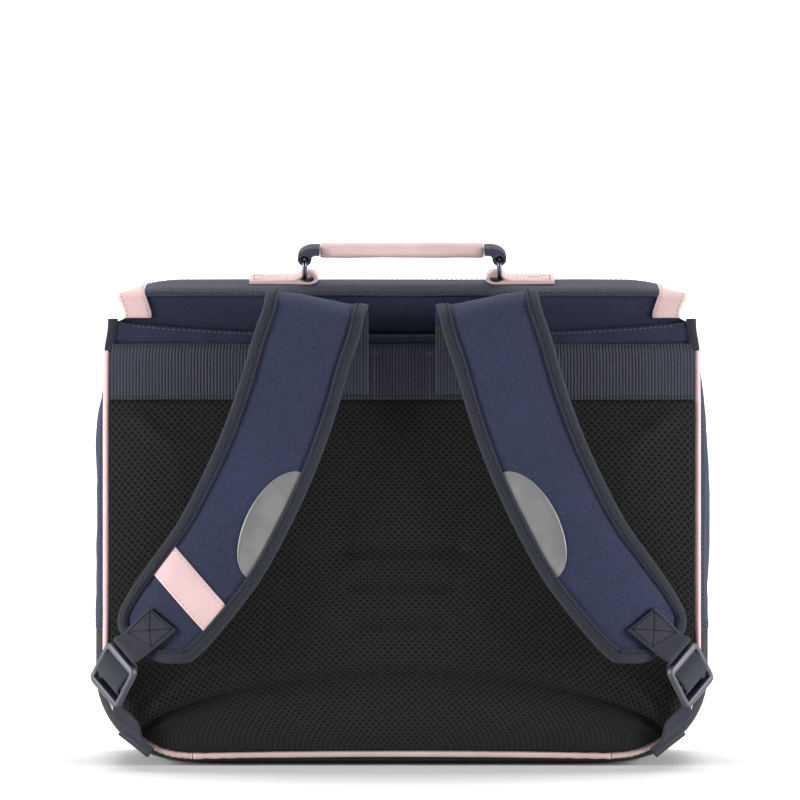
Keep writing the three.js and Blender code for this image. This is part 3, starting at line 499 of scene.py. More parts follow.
class Graph:
    """Adds nodes to a tree and links them"""

    def __init__(self, tree):
        self.tree = tree

    def add(self, kind, inputs=(), **settings):
        made = self.tree.nodes.new(kind)
        for name, value in settings.items():
            setattr(made, name, value)
        pairs = inputs.items() if isinstance(inputs, dict) else enumerate(inputs)
        for key, value in pairs:
            if isinstance(value, bpy.types.NodeSocket):
                self.tree.links.new(value, made.inputs[key])
            elif value is not None:
                made.inputs[key].default_value = value
        return made

    def maths(self, operation, *inputs):
        return self.add("ShaderNodeMath", inputs, operation=operation).outputs[0]

    def spread(self, value, low, high, to_low=0.0, to_high=1.0):
        """A value moved smoothly from one range to another"""
        made = self.add("ShaderNodeMapRange", (value, low, high, to_low, to_high))
        made.interpolation_type = "SMOOTHSTEP"
        return made.outputs[0]

    def mixed(self, share, first, second):
        made = self.add("ShaderNodeMix", data_type="RGBA")
        self.tree.links.new(share, made.inputs[0])
        for socket, value in ((made.inputs[6], first), (made.inputs[7], second)):
            if isinstance(value, bpy.types.NodeSocket):
                self.tree.links.new(value, socket)
            else:
                socket.default_value = value
        return made.outputs[2]


def shade(colour, amount):
    return (*(min(1.0, value * amount) for value in colour[:3]), 1.0)


class Finish:
    """A material whose nodes are added step by step"""

    def __init__(self, name, roughness, **shader):
        self.material = bpy.data.materials.new(name)
        self.material.use_nodes = True
        tree = self.material.node_tree
        tree.nodes.clear()
        self.graph = Graph(tree)
        self.output = self.graph.add("ShaderNodeOutputMaterial")
        self.shader = self.graph.add("ShaderNodeBsdfPrincipled", {"Roughness": roughness, **shader})
        tree.links.new(self.shader.outputs[0], self.output.inputs[0])
        self.cloth = self.graph.add("ShaderNodeUVMap", uv_map="cloth").outputs[0]
        self.place = self.graph.add("ShaderNodeTexCoord").outputs["Object"]

    def cloth_axes(self):
        made = self.graph.add("ShaderNodeSeparateXYZ", (self.cloth,))
        return made.outputs[0], made.outputs[1]

    def cloud(self, scale, detail=3.0, roughness=0.5):
        made = self.graph.add("ShaderNodeTexNoise", {
            "Vector": self.place, "Scale": scale, "Detail": detail, "Roughness": roughness})
        return made.outputs[0]

    def colour(self, share, first, second):
        mix = self.graph.mixed(share, first, second)
        self.graph.tree.links.new(mix, self.shader.inputs["Base Color"])
        return mix

    def roughness(self, share, low, high):
        value = self.graph.spread(share, 0.0, 1.0, low, high)
        self.graph.tree.links.new(value, self.shader.inputs["Roughness"])

    def bump(self, height, distance, strength=1.0):
        made = self.graph.add("ShaderNodeBump", {
            "Strength": strength, "Distance": distance, "Height": height})
        self.graph.tree.links.new(made.outputs[0], self.shader.inputs["Normal"])


def twill(name, colour, pitch, contrast=0.35, sheen=0.04, angle=0.9):
    """Woven cloth with fine diagonals and slight clouds of shade"""
    made = Finish(name, 0.85, **{"Sheen Weight": sheen, "Sheen Roughness": 0.6, "Specular IOR Level": 0.25,
                                 "Sheen Tint": (0.75, 0.8, 1.0, 1.0)})
    graph = made.graph
    across, down = made.cloth_axes()
    slant = graph.maths("ADD", across, graph.maths("MULTIPLY", down, angle))
    wave = graph.maths("SINE", graph.maths("MULTIPLY", slant, 2 * math.pi / pitch))
    yarn = graph.maths("SINE", graph.maths("MULTIPLY", down, 2 * math.pi / (pitch * 0.55)))
    weave = graph.maths("ADD", graph.maths("MULTIPLY", wave, 0.6), graph.maths("MULTIPLY", yarn, 0.15))
    level = graph.maths("ADD", weave, made.cloud(700.0, 2.0, 0.7))
    mottle = made.cloud(18.0, 4.0, 0.6)
    speck = graph.spread(made.cloud(850.0, 2.0, 0.8), 0.34, 0.66, -0.5, 0.5)
    share = graph.maths("ADD", graph.maths("MULTIPLY", level, 0.5), graph.maths("MULTIPLY", mottle, 0.5))
    share = graph.maths("ADD", share, graph.maths("MULTIPLY", speck, 0.4))
    made.colour(graph.spread(share, 0.0, 1.0), shade(colour, 1 - contrast), shade(colour, 1 + contrast))
    made.roughness(mottle, 0.78, 0.92)
    made.bump(level, pitch * 0.16, 0.8)
    return made.material


def ribbed(name, colour, pitch, yarn, contrast=0.45):
    """Webbing with ribs a pitch apart, whose yarns run across them; the rib crowns are painted lighter and the
    troughs darker, as painted highlight and painted shade
    """
    made = Finish(name, 0.8, **{"Sheen Weight": 0.04, "Specular IOR Level": 0.25})
    graph = made.graph
    along = graph.add("ShaderNodeAttribute", attribute_name="along").outputs["Fac"]
    across, down = made.cloth_axes()
    turn = graph.maths("MULTIPLY", graph.maths("DIVIDE", along, pitch), math.pi)
    crown = graph.maths("ABSOLUTE", graph.maths("SINE", turn))
    weft = graph.maths("SINE", graph.maths("MULTIPLY", graph.maths("ADD", across, down), 2 * math.pi / yarn))
    warp = graph.maths("SINE", graph.maths("MULTIPLY", graph.maths("SUBTRACT", across, down),
                                           2 * math.pi / yarn))
    weave = graph.maths("MULTIPLY", weft, warp)
    level = graph.maths("ADD", graph.maths("MULTIPLY", weave, 0.3), made.cloud(600.0, 2.0, 0.7))
    # Painted highlight on the crowns of the ribs and painted shade in the troughs between them, following the
    # raised ribs
    share = graph.maths("ADD", graph.maths("MULTIPLY", level, 0.55),
                        graph.maths("MULTIPLY", graph.spread(crown, 0.1, 0.75), 0.5))
    made.colour(graph.spread(share, 0.15, 0.95), shade(colour, 1 - contrast * 1.5), shade(colour, 1 + contrast))
    made.roughness(made.cloud(40.0), 0.7, 0.88)
    made.bump(level, yarn * 0.15, 0.7)
    return made.material


def spacer_mesh(name, colour, hole_width, hole_height):
    """Knitted mesh with staggered rows of small oval holes, whose near-black colour is the dark layer beneath
    with painted shade inside the holes
    """
    made = Finish(name, 0.85, **{"Sheen Weight": 0.03, "Specular IOR Level": 0.2})
    graph = made.graph
    across, down = made.cloth_axes()
    row = graph.maths("DIVIDE", down, hole_height)
    stagger = graph.maths("MULTIPLY", graph.maths("MODULO", graph.maths("FLOOR", row), 2.0), 0.5)
    column = graph.maths("ADD", graph.maths("DIVIDE", across, hole_width), stagger)
    x = graph.maths("SUBTRACT", graph.maths("FRACT", column), 0.5)
    y = graph.maths("MULTIPLY", graph.maths("SUBTRACT", graph.maths("FRACT", row), 0.5), 0.62)
    reach = graph.maths("SQRT", graph.maths("ADD", graph.maths("MULTIPLY", x, x),
                                            graph.maths("MULTIPLY", y, y)))
    thread = graph.spread(reach, 0.20, 0.30)
    knit = graph.maths("ADD", thread, graph.maths("MULTIPLY", made.cloud(1500.0, 2.0), 0.25))
    # The holes are painted near black, far darker than the knit: the dark layer under them and painted shade
    # inside them
    made.colour(thread, (0.0008, 0.0008, 0.0010, 1.0), shade(colour, 2.0))
    made.bump(knit, 0.0012, 1.0)
    return made.material


def leather(name, colour):
    """Smooth coated leather with a fine grain"""
    made = Finish(name, 0.65, **{"Specular IOR Level": 0.2})
    graph = made.graph
    grain = graph.add("ShaderNodeTexVoronoi", {"Vector": made.place, "Scale": 1400.0})
    fine = graph.spread(grain.outputs[0], 0.0, 0.6)
    folds = made.cloud(120.0, 5.0, 0.6)
    level = graph.maths("ADD", graph.maths("MULTIPLY", fine, 0.4), graph.maths("MULTIPLY", folds, 0.6))
    made.colour(graph.spread(made.cloud(30.0, 4.0), 0.3, 0.75), shade(colour, 0.9), shade(colour, 1.04))
    made.roughness(folds, 0.58, 0.75)
    made.bump(level, 0.00012, 0.6)
    return made.material


def reflective(name, colour):
    """Reflective cloth with a fine grid of beads"""
    made = Finish(name, 0.42, **{"Metallic": 0.35})
    graph = made.graph
    across, down = made.cloth_axes()
    pitch = 2 * math.pi / 0.0009
    beads = graph.maths("MULTIPLY", graph.maths("SINE", graph.maths("MULTIPLY", across, pitch)),
                        graph.maths("SINE", graph.maths("MULTIPLY", down, pitch)))
    mottle = made.cloud(60.0, 4.0)
    made.colour(graph.spread(graph.maths("ADD", mottle, graph.maths("MULTIPLY", beads, 0.12)), 0.2, 0.8),
                shade(colour, 0.82), shade(colour, 1.15))
    made.roughness(mottle, 0.36, 0.5)
    made.bump(beads, 0.00005, 0.5)
    return made.material


def polished_metal(name, colour):
    made = Finish(name, 0.25, **{"Metallic": 1.0})
    mottle = made.cloud(300.0, 4.0)
    made.colour(mottle, shade(colour, 0.8), shade(colour, 1.4))
    made.roughness(mottle, 0.18, 0.32)
    made.bump(mottle, 0.00002, 0.3)
    return made.material


def moulded(name, colour):
    made = Finish(name, 0.42)
    mottle = made.cloud(90.0, 3.0)
    made.colour(mottle, shade(colour, 0.88), shade(colour, 1.1))
    made.roughness(mottle, 0.36, 0.5)
    made.bump(made.cloud(2500.0, 2.0), 0.00004, 0.5)
    return made.material


def thread_finish(name, colour):
    made = Finish(name, 0.8, **{"Specular IOR Level": 0.15})
    graph = made.graph
    twist = made.cloud(3500.0, 1.0)
    made.colour(twist, shade(colour, 0.75), shade(colour, 1.25))
    made.bump(twist, 0.00008, 0.6)
    return made.material


def make_finishes():
    """All materials, by the name of what they are on"""
    colours = bpy.context.scene.satchel_colours
    sizes = bpy.context.scene.satchel_sizes
    return {
        "panel": twill("navy_panel_cloth", colours.panel, sizes.twill_pitch, 0.5),
        "strap": twill("navy_strap_twill", colours.strap, sizes.twill_pitch, 0.55),
        "base": twill("black_base_cloth", colours.base, sizes.twill_pitch * 1.4, 0.35, 0.05, 0.0),
        "mesh": spacer_mesh("black_spacer_mesh", colours.mesh, sizes.hole_width, sizes.hole_height),
        "webbing": ribbed("grey_webbing_weave", colours.webbing, sizes.rib_pitch, 0.0016),
        "narrow": ribbed("grey_narrow_webbing", shade(colours.webbing, 0.72), sizes.rib_pitch / 2, 0.0011, 0.5),
        "tape": twill("grey_tape_twill", colours.webbing, sizes.twill_pitch * 1.8, 0.55),
        "binding": twill("grey_binding_twill", colours.binding, sizes.twill_pitch * 1.3, 0.55),
        "leather": leather("pink_leather", colours.leather),
        "reflector": reflective("silver_reflector_cloth", colours.reflector),
        "metal": polished_metal("gunmetal_ring", colours.metal),
        "plastic": moulded("dark_moulded_plastic", colours.plastic),
        "dark_thread": thread_finish("dark_thread", (0.006, 0.0065, 0.009)),
        "grey_thread": thread_finish("grey_thread", (0.16, 0.17, 0.21)),
        "pink_thread": thread_finish("pink_thread", (0.30, 0.155, 0.17)),
    }


finishes = {}


def finish_of(name):
    if not finishes:
        finishes.update(make_finishes())
    return finishes[name]


def tree_socket(tree, name, kind, default=None):
    socket = tree.interface.new_socket(name, in_out="INPUT", socket_type=kind)
    if default is not None:
        socket.default_value = default
    return socket


def stitch_tree():
    """Stitches at even distances along the edges of a line, turned to lie on the cloth"""
    tree = bpy.data.node_groups.new("sewn_stitches", "GeometryNodeTree")
    tree_socket(tree, "Geometry", "NodeSocketGeometry")
    for name in ("Pitch", "Stitch Length", "Thread", "Swing", "Looseness"):
        tree_socket(tree, name, "NodeSocketFloat", 0.0)
    tree_socket(tree, "Seed", "NodeSocketInt", 0)
    tree_socket(tree, "Material", "NodeSocketMaterial")
    tree.interface.new_socket("Geometry", in_out="OUTPUT", socket_type="NodeSocketGeometry")
    graph = Graph(tree)
    given = graph.add("NodeGroupInput").outputs
    line = graph.add("GeometryNodeMeshToCurve", (given["Geometry"],)).outputs[0]
    spots = graph.add("GeometryNodeCurveToPoints", {"Curve": line, "Length": given["Pitch"]}, mode="LENGTH")
    out = graph.add("GeometryNodeInputNamedAttribute", {"Name": "face_out"}, data_type="FLOAT_VECTOR")
    lie = graph.add("FunctionNodeAxesToRotation", (out.outputs[0], spots.outputs["Tangent"]),
                    primary_axis="Z", secondary_axis="X")
    index = graph.add("GeometryNodeInputIndex").outputs[0]
    side = graph.maths("SUBTRACT", graph.maths("MULTIPLY", graph.maths("MODULO", index, 2.0), 2.0), 1.0)
    loose = graph.add("FunctionNodeRandomValue", data_type="FLOAT")
    low = graph.maths("MULTIPLY", given["Looseness"], -1.0)
    tree.links.new(low, loose.inputs[2])
    tree.links.new(given["Looseness"], loose.inputs[3])
    tree.links.new(given["Seed"], loose.inputs["Seed"])
    turn = graph.maths("ADD", graph.maths("MULTIPLY", side, given["Swing"]), loose.outputs[1])
    swing = graph.add("FunctionNodeAxisAngleToRotation", {"Axis": (0.0, 0.0, 1.0), "Angle": turn})
    turned = graph.add("FunctionNodeRotateRotation", (lie.outputs[0], swing.outputs[0]),
                       rotation_space="LOCAL")
    bead = graph.add("GeometryNodeMeshUVSphere", {"Segments": 6, "Rings": 5, "Radius": 0.5}).outputs[0]
    size = graph.add("ShaderNodeCombineXYZ", (given["Stitch Length"], given["Thread"], given["Thread"]))
    stitch = graph.add("GeometryNodeTransform", {"Geometry": bead, "Scale": size.outputs[0]}).outputs[0]
    laid = graph.add("GeometryNodeInstanceOnPoints", {
        "Points": spots.outputs["Points"], "Instance": stitch, "Rotation": turned.outputs[0]})
    real = graph.add("GeometryNodeRealizeInstances", (laid.outputs[0],)).outputs[0]
    even = graph.add("GeometryNodeSetShadeSmooth", {"Geometry": real}).outputs[0]
    done = graph.add("GeometryNodeSetMaterial", {"Geometry": even, "Material": given["Material"]})
    graph.add("NodeGroupOutput", (done.outputs[0],))
    return tree


def rib_tree():
    """Raises ribs on webbing, across the direction that the attribute along measures"""
    tree = bpy.data.node_groups.new("woven_ribs", "GeometryNodeTree")
    tree_socket(tree, "Geometry", "NodeSocketGeometry")
    for name in ("Pitch", "Depth"):
        tree_socket(tree, name, "NodeSocketFloat", 0.0)
    tree_socket(tree, "Material", "NodeSocketMaterial")
    tree.interface.new_socket("Geometry", in_out="OUTPUT", socket_type="NodeSocketGeometry")
    graph = Graph(tree)
    given = graph.add("NodeGroupInput").outputs
    along = graph.add("GeometryNodeInputNamedAttribute", {"Name": "along"}, data_type="FLOAT").outputs[0]
    turn = graph.maths("MULTIPLY", graph.maths("DIVIDE", along, given["Pitch"]), math.pi)
    crown = graph.maths("POWER", graph.maths("ABSOLUTE", graph.maths("SINE", turn)), 0.7)
    height = graph.maths("MULTIPLY", graph.maths("SUBTRACT", crown, 0.75), given["Depth"])
    normal = graph.add("GeometryNodeInputNormal").outputs[0]
    offset = graph.add("ShaderNodeVectorMath", {0: normal, "Scale": height}, operation="SCALE").outputs[0]
    raised = graph.add("GeometryNodeSetPosition", {"Geometry": given["Geometry"], "Offset": offset})
    real = graph.add("GeometryNodeRealizeInstances", (raised.outputs[0],)).outputs[0]
    done = graph.add("GeometryNodeSetMaterial", {"Geometry": real, "Material": given["Material"]})
    graph.add("NodeGroupOutput", (done.outputs[0],))
    return tree


trees = {}


def run_tree(piece, name, make, values):
    """Runs a tree on a piece and keeps its result as the piece's own mesh"""
    if name not in trees:
        trees[name] = make()
    tree = trees[name]
    modifier = piece.modifiers.new(name, "NODES")
    modifier.node_group = tree
    keys = {item.name: item.identifier for item in tree.interface.items_tree if item.in_out == "INPUT"}
    for key, value in values.items():
        modifier[keys[key]] = value
    bpy.context.view_layer.update()
    shown = piece.evaluated_get(bpy.context.evaluated_depsgraph_get())
    mesh = bpy.data.meshes.new_from_object(shown, preserve_all_data_layers=True,
                                           depsgraph=bpy.context.evaluated_depsgraph_get())
    piece.modifiers.clear()
    piece.data = mesh
    if not len(mesh.polygons):
        raise RuntimeError(f"{piece.name} came out empty")
    return piece


def add_stitches(name, lines, thread, slot, pitch=1.0, length=1.0, width=1.0, swing=0.0):
    """Stitches along lines, each a list of points with the way out of the cloth"""
    sizes = bpy.context.scene.satchel_sizes
    points, outs, edges = [], [], []
    for line in lines:
        for i, (point, out) in enumerate(line):
            if i:
                edges.append((len(points) - 1, len(points)))
            points.append(point)
            outs.append(out)
    mesh = bpy.data.meshes.new(name)
    mesh.from_pydata([tuple(point) for point in points], edges, [])
    face_out = mesh.attributes.new("face_out", "FLOAT_VECTOR", "POINT")
    face_out.data.foreach_set("vector", np.array(outs, float).ravel())
    piece = bpy.data.objects.new(name, mesh)
    bpy.context.scene.collection.objects.link(piece)
    run_tree(piece, "stitches", stitch_tree, {
        "Pitch": sizes.stitch_pitch * pitch, "Stitch Length": sizes.stitch_length * length,
        "Thread": sizes.thread * width, "Swing": swing, "Looseness": 0.06, "Seed": sizes.seed,
        "Material": finish_of(thread)})
    return settle(piece, slot)


def add_ribs(piece, along, pitch, depth, finish):
    """Ribs on a webbing, given the distance along it of each of its points"""
    values = piece.data.attributes.new("along", "FLOAT", "POINT")
    values.data.foreach_set("value", np.asarray(along, np.float32))
    return run_tree(piece, "ribs", rib_tree, {"Pitch": pitch, "Depth": depth, "Material": finish_of(finish)})


def inflate(piece, held, pressure, reach, frames=16, stretch=6.0):
    """Blows a pad up by a cloth simulation, held where it is sewn, and moves no point further than reach"""
    before = np.array([vertex.co for vertex in piece.data.vertices])
    sewn = piece.vertex_groups.new(name="sewn")
    sewn.add([int(i) for i in held], 1.0, "REPLACE")
    cloth = piece.modifiers.new("padding", "CLOTH")
    cloth.settings.vertex_group_mass = "sewn"
    cloth.settings.quality = 5
    cloth.settings.mass = 0.2
    cloth.settings.tension_stiffness = stretch
    cloth.settings.compression_stiffness = stretch
    cloth.settings.shear_stiffness = stretch / 2
    cloth.settings.bending_stiffness = 0.2
    cloth.settings.use_pressure = True
    cloth.settings.uniform_pressure_force = pressure
    cloth.settings.effector_weights.gravity = 0
    scene = bpy.context.scene
    for step in range(1, frames + 1):
        scene.frame_set(step)
    shown = piece.evaluated_get(bpy.context.evaluated_depsgraph_get())
    after = np.array([vertex.co for vertex in shown.data.vertices])
    piece.modifiers.clear()
    piece.vertex_groups.clear()
    scene.frame_set(1)
    moved = after - before
    far = np.linalg.norm(moved, axis=1, keepdims=True)
    moved *= np.minimum(1, reach / np.maximum(far, 1e-9))
    piece.data.vertices.foreach_set("co", (before + moved).ravel())
    piece.data.update()


def half_width_at(z, inset=0.0):
    """Half the width of the case at a height, seen from behind"""
    radius = CORNER_RADIUS - inset
    if z >= CORNER_HEIGHT:
        return CASE_HALF - inset - TOP_NARROWING * smooth(GUSSET_TOP - TOP_FADE, GUSSET_TOP, z)
    below = min(CORNER_HEIGHT - z, radius)
    return CORNER_OUT + math.sqrt(radius * radius - below * below)


def panel_heights(inset, top, turns=14, count=40):
    """Heights of the rows of a panel with round lower corners"""
    radius = CORNER_RADIUS - inset
    bend = [CORNER_HEIGHT - radius * math.sin(turn) for turn in np.linspace(math.pi / 2, 0, turns)]
    return bend + list(np.linspace(CORNER_HEIGHT, top, count + 1)[1:])


def arch_at(x):
    return PIPING_ARCH * max(0.0, 1 - (x / PIPING_SPLICE) ** 2)


def bulge_share(v):
    return math.sqrt(max(0.0, math.sin(math.pi * v)))


def depth_columns(count):
    """Shares of the depth, closer together at the two seams"""
    return [(1 - math.cos(math.pi * share)) / 2 for share in np.linspace(0, 1, count)]


def gusset_point(side, u, v, w):
    share = bulge_share(v)
    bottom = BASE_SIDE_TOP + SEAM_GAP
    top = GUSSET_TOP + GUSSET_RISE * share
    z = bottom + (top - bottom) * u
    held = 1 - smooth(GUSSET_TOP - BULGE_FADE, GUSSET_TOP + GUSSET_RISE, z)
    tuck = GUSSET_TUCK * share ** 0.4 * smooth(0.8, 1, u)
    out = half_width_at(z) + SIDE_BULGE * share * held - tuck
    sag = ripple((side * 0.2, v * 0.17, z), 0.045, 0.0022, side) * share * smooth(0, 0.1, u)
    crease = ripple((side * 0.2, v * 0.17, z), 0.014, 0.0007, side + 4) * share
    out += (w - 0.5) * WALL + sag + crease
    return np.array([side * out, REAR + GUSSET_START + (CASE_DEPTH - GUSSET_START) * v, z])


def make_gussets():
    for label, side in (("left", -1), ("right", 1)):
        form = slab(np.linspace(0, 1, 70), depth_columns(56), lambda u, v, w: gusset_point(side, u, v, w))
        add_piece(f"gusset_{label}_cloth", form, finish_of("panel"), "navy_fabric", f"gusset_{label}")


def base_route():
    """Rows of the base from one side's top edge under the case to the other's"""
    half = [(CASE_HALF, z, 0.0) for z in np.linspace(BASE_SIDE_TOP, CORNER_HEIGHT, 8)[:-1]]
    for turn in np.linspace(0, math.pi / 2, 22):
        x = CORNER_OUT + CORNER_RADIUS * math.cos(turn)
        half.append((x, CORNER_HEIGHT - CORNER_RADIUS * math.sin(turn), turn))
    half += [(x, PIPING_HEIGHT, math.pi / 2) for x in np.linspace(CORNER_OUT, 0, 16)[1:]]
    other = [(-x, z, math.pi - turn) for x, z, turn in half[-2::-1]]
    return half + other


def base_point(row, v, w):
    x, z, turn = row
    drop = PIPING_HEIGHT - WALL / 2
    bulge = bulge_share(v) * (SIDE_BULGE * abs(math.cos(turn)) + drop * math.sin(turn))
    if abs(turn - math.pi / 2) < 1e-6:
        bulge = min(bulge * 1.35, drop)
    out = bulge + (w - 0.5) * WALL
    y = REAR + GUSSET_START + (CASE_DEPTH - GUSSET_START) * v
    low = (1 - w) * WALL
    return np.array([x + out * math.cos(turn), y, max(z - out * math.sin(turn), low)])


def make_base():
    rows = base_route()
    form = slab(rows, depth_columns(36), base_point, rim=0.0)
    add_piece("base_cloth", form, finish_of("base"), "black_fabric", "base_panel")


def seam_lines_of_case():
    """Rows of stitches beside the seams of both sides and round the base"""
    lines = []
    for side in (-1, 1):
        for v in (0.035, 0.965):
            line = []
            for u in np.linspace(0.02, 0.97, 50):
                point = gusset_point(side, u, v, 1)
                line.append((point + np.array([side * 0.0001, 0, 0]), (side, 0, 0)))
            lines.append(line)
        for z in (0.0925, 0.0955):
            line = []
            for v in np.linspace(0.05, 0.95, 50):
                u = (z - BASE_SIDE_TOP) / (GUSSET_TOP - BASE_SIDE_TOP)
                point = gusset_point(side, u, v, 1)
                line.append((point + np.array([side * 0.0001, 0, 0]), (side, 0, 0)))
            lines.append(line)
    return lines


def make_front():
    inset = WALL / 2 + PATCH_GAP
    top = node_box("front_panel")[1][2]

    def place(z, u, w):
        x = u * half_width_at(z, inset)
        middle = math.sqrt(max(0.0, 1 - u * u)) * smooth(0.01, 0.05, z)
        y = CASE_FRONT - FRONT_THICKNESS * (1 - w) - 0.0006 * (1 - middle) * w
        return np.array([x, y, z])

    form = slab(panel_heights(inset, top), np.linspace(-1, 1, 80), place)
    add_piece("front_cloth", form, finish_of("panel"), "navy_fabric", "front_panel")


def hem_top(u):
    return BACK_TOP + BACK_TOP_RISE * abs(u) ** 2.5


def make_back():
    inset = PIPING_RADIUS + SEAM_GAP
    heights = panel_heights(inset, WEBBING_HIGH - 0.006)
    hem = np.linspace(0, 1, 22)[1:]

    def place(row, u, w):
        if row[0] == "panel":
            z = row[1]
            x = u * half_width_at(z, inset)
            z += arch_at(x) * (1 - smooth(PIPING_HEIGHT, CORNER_HEIGHT, z))
            return np.array([x, REAR + BACK_BOARD * (1 - w), z])
        low = WEBBING_HIGH - 0.006
        z = low + (hem_top(u) - low) * row[1]
        fold = smooth(0.35, 0.45, row[1]) * 0.0009 + ripple((u, row[1] * 0.02, 0.3), 0.06, 0.0006)
        top = smooth(0.93, 1.0, row[1]) * BACK_BOARD * 0.3
        y = REAR + BACK_BOARD * (1 - w) - (fold * w if w else 0.0) + (top if w else -top)
        return np.array([u * half_width_at(z, inset), y, z])

    rows = [("panel", z) for z in heights] + [("hem", share) for share in hem]
    form = slab(rows, np.linspace(-1, 1, 120), place)
    add_piece("back_board_cloth", form, finish_of("panel"), "navy_fabric", "back_panel")
    lines = []
    for drop in (0.0012,):
        line = [(np.array([u * half_width_at(0.29, inset), REAR - 0.0014, hem_top(u) - drop]), (0, -1, 0))
                for u in np.linspace(-0.93, 0.93, 90)]
        lines.append(line)
    add_stitches("back_hem_stitches", lines, "grey_thread", "navy_fabric", 1.0, 1.0, 0.9)


def make_hem_ends():
    """The bound ends of the hem beside the tops of the piping"""
    for label, side in (("left", -1), ("right", 1)):
        rows = np.linspace(PIPING_TOP + 0.0005, BACK_TOP + BACK_TOP_RISE + 0.0022, 16)

        def place(z, v, w):
            x = half_width_at(z) - 0.0045 + 0.0062 * v
            lean = 0.0007 * math.sin(math.pi * v)
            return np.array([side * x, REAR - 0.0002 - (0.0012 + lean) * w + 0.004 * (1 - w), z])

        form = slab(rows, np.linspace(0, 1, 8), place, rim=0.0004)
        add_piece(f"hem_end_{label}_tape", form, finish_of("binding"), "grey_binding")


CHANNELS = ({"height": 0.146, "half": 0.039}, {"height": 0.122, "half": 0.033}, {"height": 0.098, "half": 0.027})


def groove_at(u):
    return GROOVE_HEIGHT - GROOVE_DROP * abs(u) ** 2.3


def channel_depth(x, z):
    """How far a short air channel is pressed into the pad, from 0 to 1"""
    depth = 0.0
    for channel in CHANNELS:
        over = max(0.0, abs(x) - channel["half"])
        away = math.hypot(over, z - channel["height"])
        depth = max(depth, 1 - smooth(0.0015, 0.0065, away))
    return depth


def make_mesh_pad():
    inset = PIPING_RADIUS + SEAM_GAP
    low_edge = PIPING_HEIGHT + inset
    below = 1 - (1 - np.linspace(0, 1, 28)) ** 1.3
    above = np.linspace(0, 1, 84)[1:] ** 1.25
    rows = [(share, 0.0) for share in below] + [(1.0, share) for share in above]
    columns = np.sin(np.linspace(-1, 1, 150) * math.pi / 2)
    held = []

    def place(row, u, w):
        under, over = row
        groove = groove_at(u)
        low = low_edge + arch_at(u * CORNER_OUT)
        z = low + (groove - low) * under + (PAD_TOP - groove) * over
        x = u * half_width_at(z, inset)
        side = 1 - smooth(0.86, 1, abs(u)) ** 1.5
        fullness = smooth(0, 0.2, under) ** 0.7 * smooth(0, 0.2, 1 - under) ** 0.6
        if over:
            fullness = smooth(0, 0.045, over) ** 0.6 * (1 - smooth(0.93, 1.0, over))
        pressed = channel_depth(x, z)
        edge = mixed(0.0011, PAD_EDGE, smooth(0.0, 1.0, max(1 - under, over) * 4) if under else 1.0)
        thick = edge + (PAD_THICKNESS - 0.0014 - edge) * fullness * side * (1 - 0.7 * pressed)
        return np.array([x, REAR - SEAM_GAP - thick * w, z])

    form = slab(rows, columns, place, rim=0.0)
    piece = new_mesh_object("back_pad_cloth", form, finish_of("mesh"))
    count = len(columns)
    for i, (under, over) in enumerate(rows):
        for j, u in enumerate(columns):
            sewn = i in (0, len(rows) - 1) or j in (0, count - 1) or (under == 1.0 and over == 0.0)
            point = form.points[i * count + j]
            if sewn or channel_depth(point[0], point[2]) > 0.55:
                held.append(i * count + j)
    held += range(len(rows) * count, len(form.points))
    inflate(piece, held, 3.0, 0.0022)
    points = np.array([vertex.co for vertex in piece.data.vertices])
    lowest = REAR - SEAM_GAP - PAD_THICKNESS
    points[:, 1] = np.maximum(points[:, 1], lowest)
    piece.data.vertices.foreach_set("co", points.ravel())
    settle(piece, "black_mesh", "back_mesh_pad")


def grid_along(form, rows, columns, values):
    """One value a point for a slab, whose points are its face, its back and its rim"""
    values = np.asarray(values)
    index = np.arange(rows * columns).reshape(rows, columns)
    ring = list(index[0, :-1]) + list(index[:-1, -1]) + list(index[-1, :0:-1]) + list(index[:0:-1, 0])
    return np.concatenate([values, values, values[ring]])


def make_back_webbing():
    sizes = bpy.context.scene.satchel_sizes
    inset = PIPING_RADIUS + SEAM_GAP
    count = 6 * round(2 * CASE_HALF / sizes.rib_pitch) + 1
    columns = np.linspace(-1, 1, count)
    rows = np.linspace(0, 1, 12)

    def place(v, u, w):
        z = WEBBING_LOW + (WEBBING_HIGH - WEBBING_LOW) * v
        x = u * half_width_at(z, inset)
        wave = ripple((x, 0, z * 0.4), 0.05, 0.0004, 2) * math.sin(math.pi * v)
        z += ripple((x, 1, 0), 0.06, 0.0006, 5) * (1 if v in (0, 1) else 0.5)
        return np.array([x, REAR - SEAM_GAP - 0.0002 - (WEBBING_THICKNESS - 0.0002 + wave) * w, z])

    form = slab(rows, columns, place, rim=0.0)
    piece = new_mesh_object("back_webbing_weave", form, finish_of("webbing"))
    along = np.tile(columns * (CASE_HALF - inset), len(rows))
    add_ribs(piece, grid_along(form, len(rows), count, along), sizes.rib_pitch, sizes.rib_depth, "webbing")
    settle(piece, "grey_webbing", "back_webbing")
    face = REAR - SEAM_GAP - WEBBING_THICKNESS - 0.0001
    lines = []
    for z in (WEBBING_LOW + 0.0025, WEBBING_HIGH - 0.0025):
        reach = half_width_at(z, inset) - 0.002
        lines.append([(np.array([x, face, z]), (0, -1, 0)) for x in np.linspace(-reach, reach, 60)])
    add_stitches("back_webbing_stitches", lines, "dark_thread", "grey_webbing")
    bars = []
    for side in (-1, 1):
        inner = FLAP_MIDDLE - STRAP_WIDTH / 2
        for x in (inner - 0.0022,):
            bars.append([(np.array([side * x, face, z]), (0, -1, 0))
                         for z in np.linspace(WEBBING_LOW + 0.002, WEBBING_HIGH - 0.006, 12)])
        bars.append([(np.array([side * x, face, WEBBING_HIGH - 0.0068]), (0, -1, 0))
                     for x in np.linspace(inner - 0.004, inner + 0.010, 8)])
    add_stitches("strap_anchor_stitches", bars, "grey_thread", "grey_webbing", 0.8, 0.8)


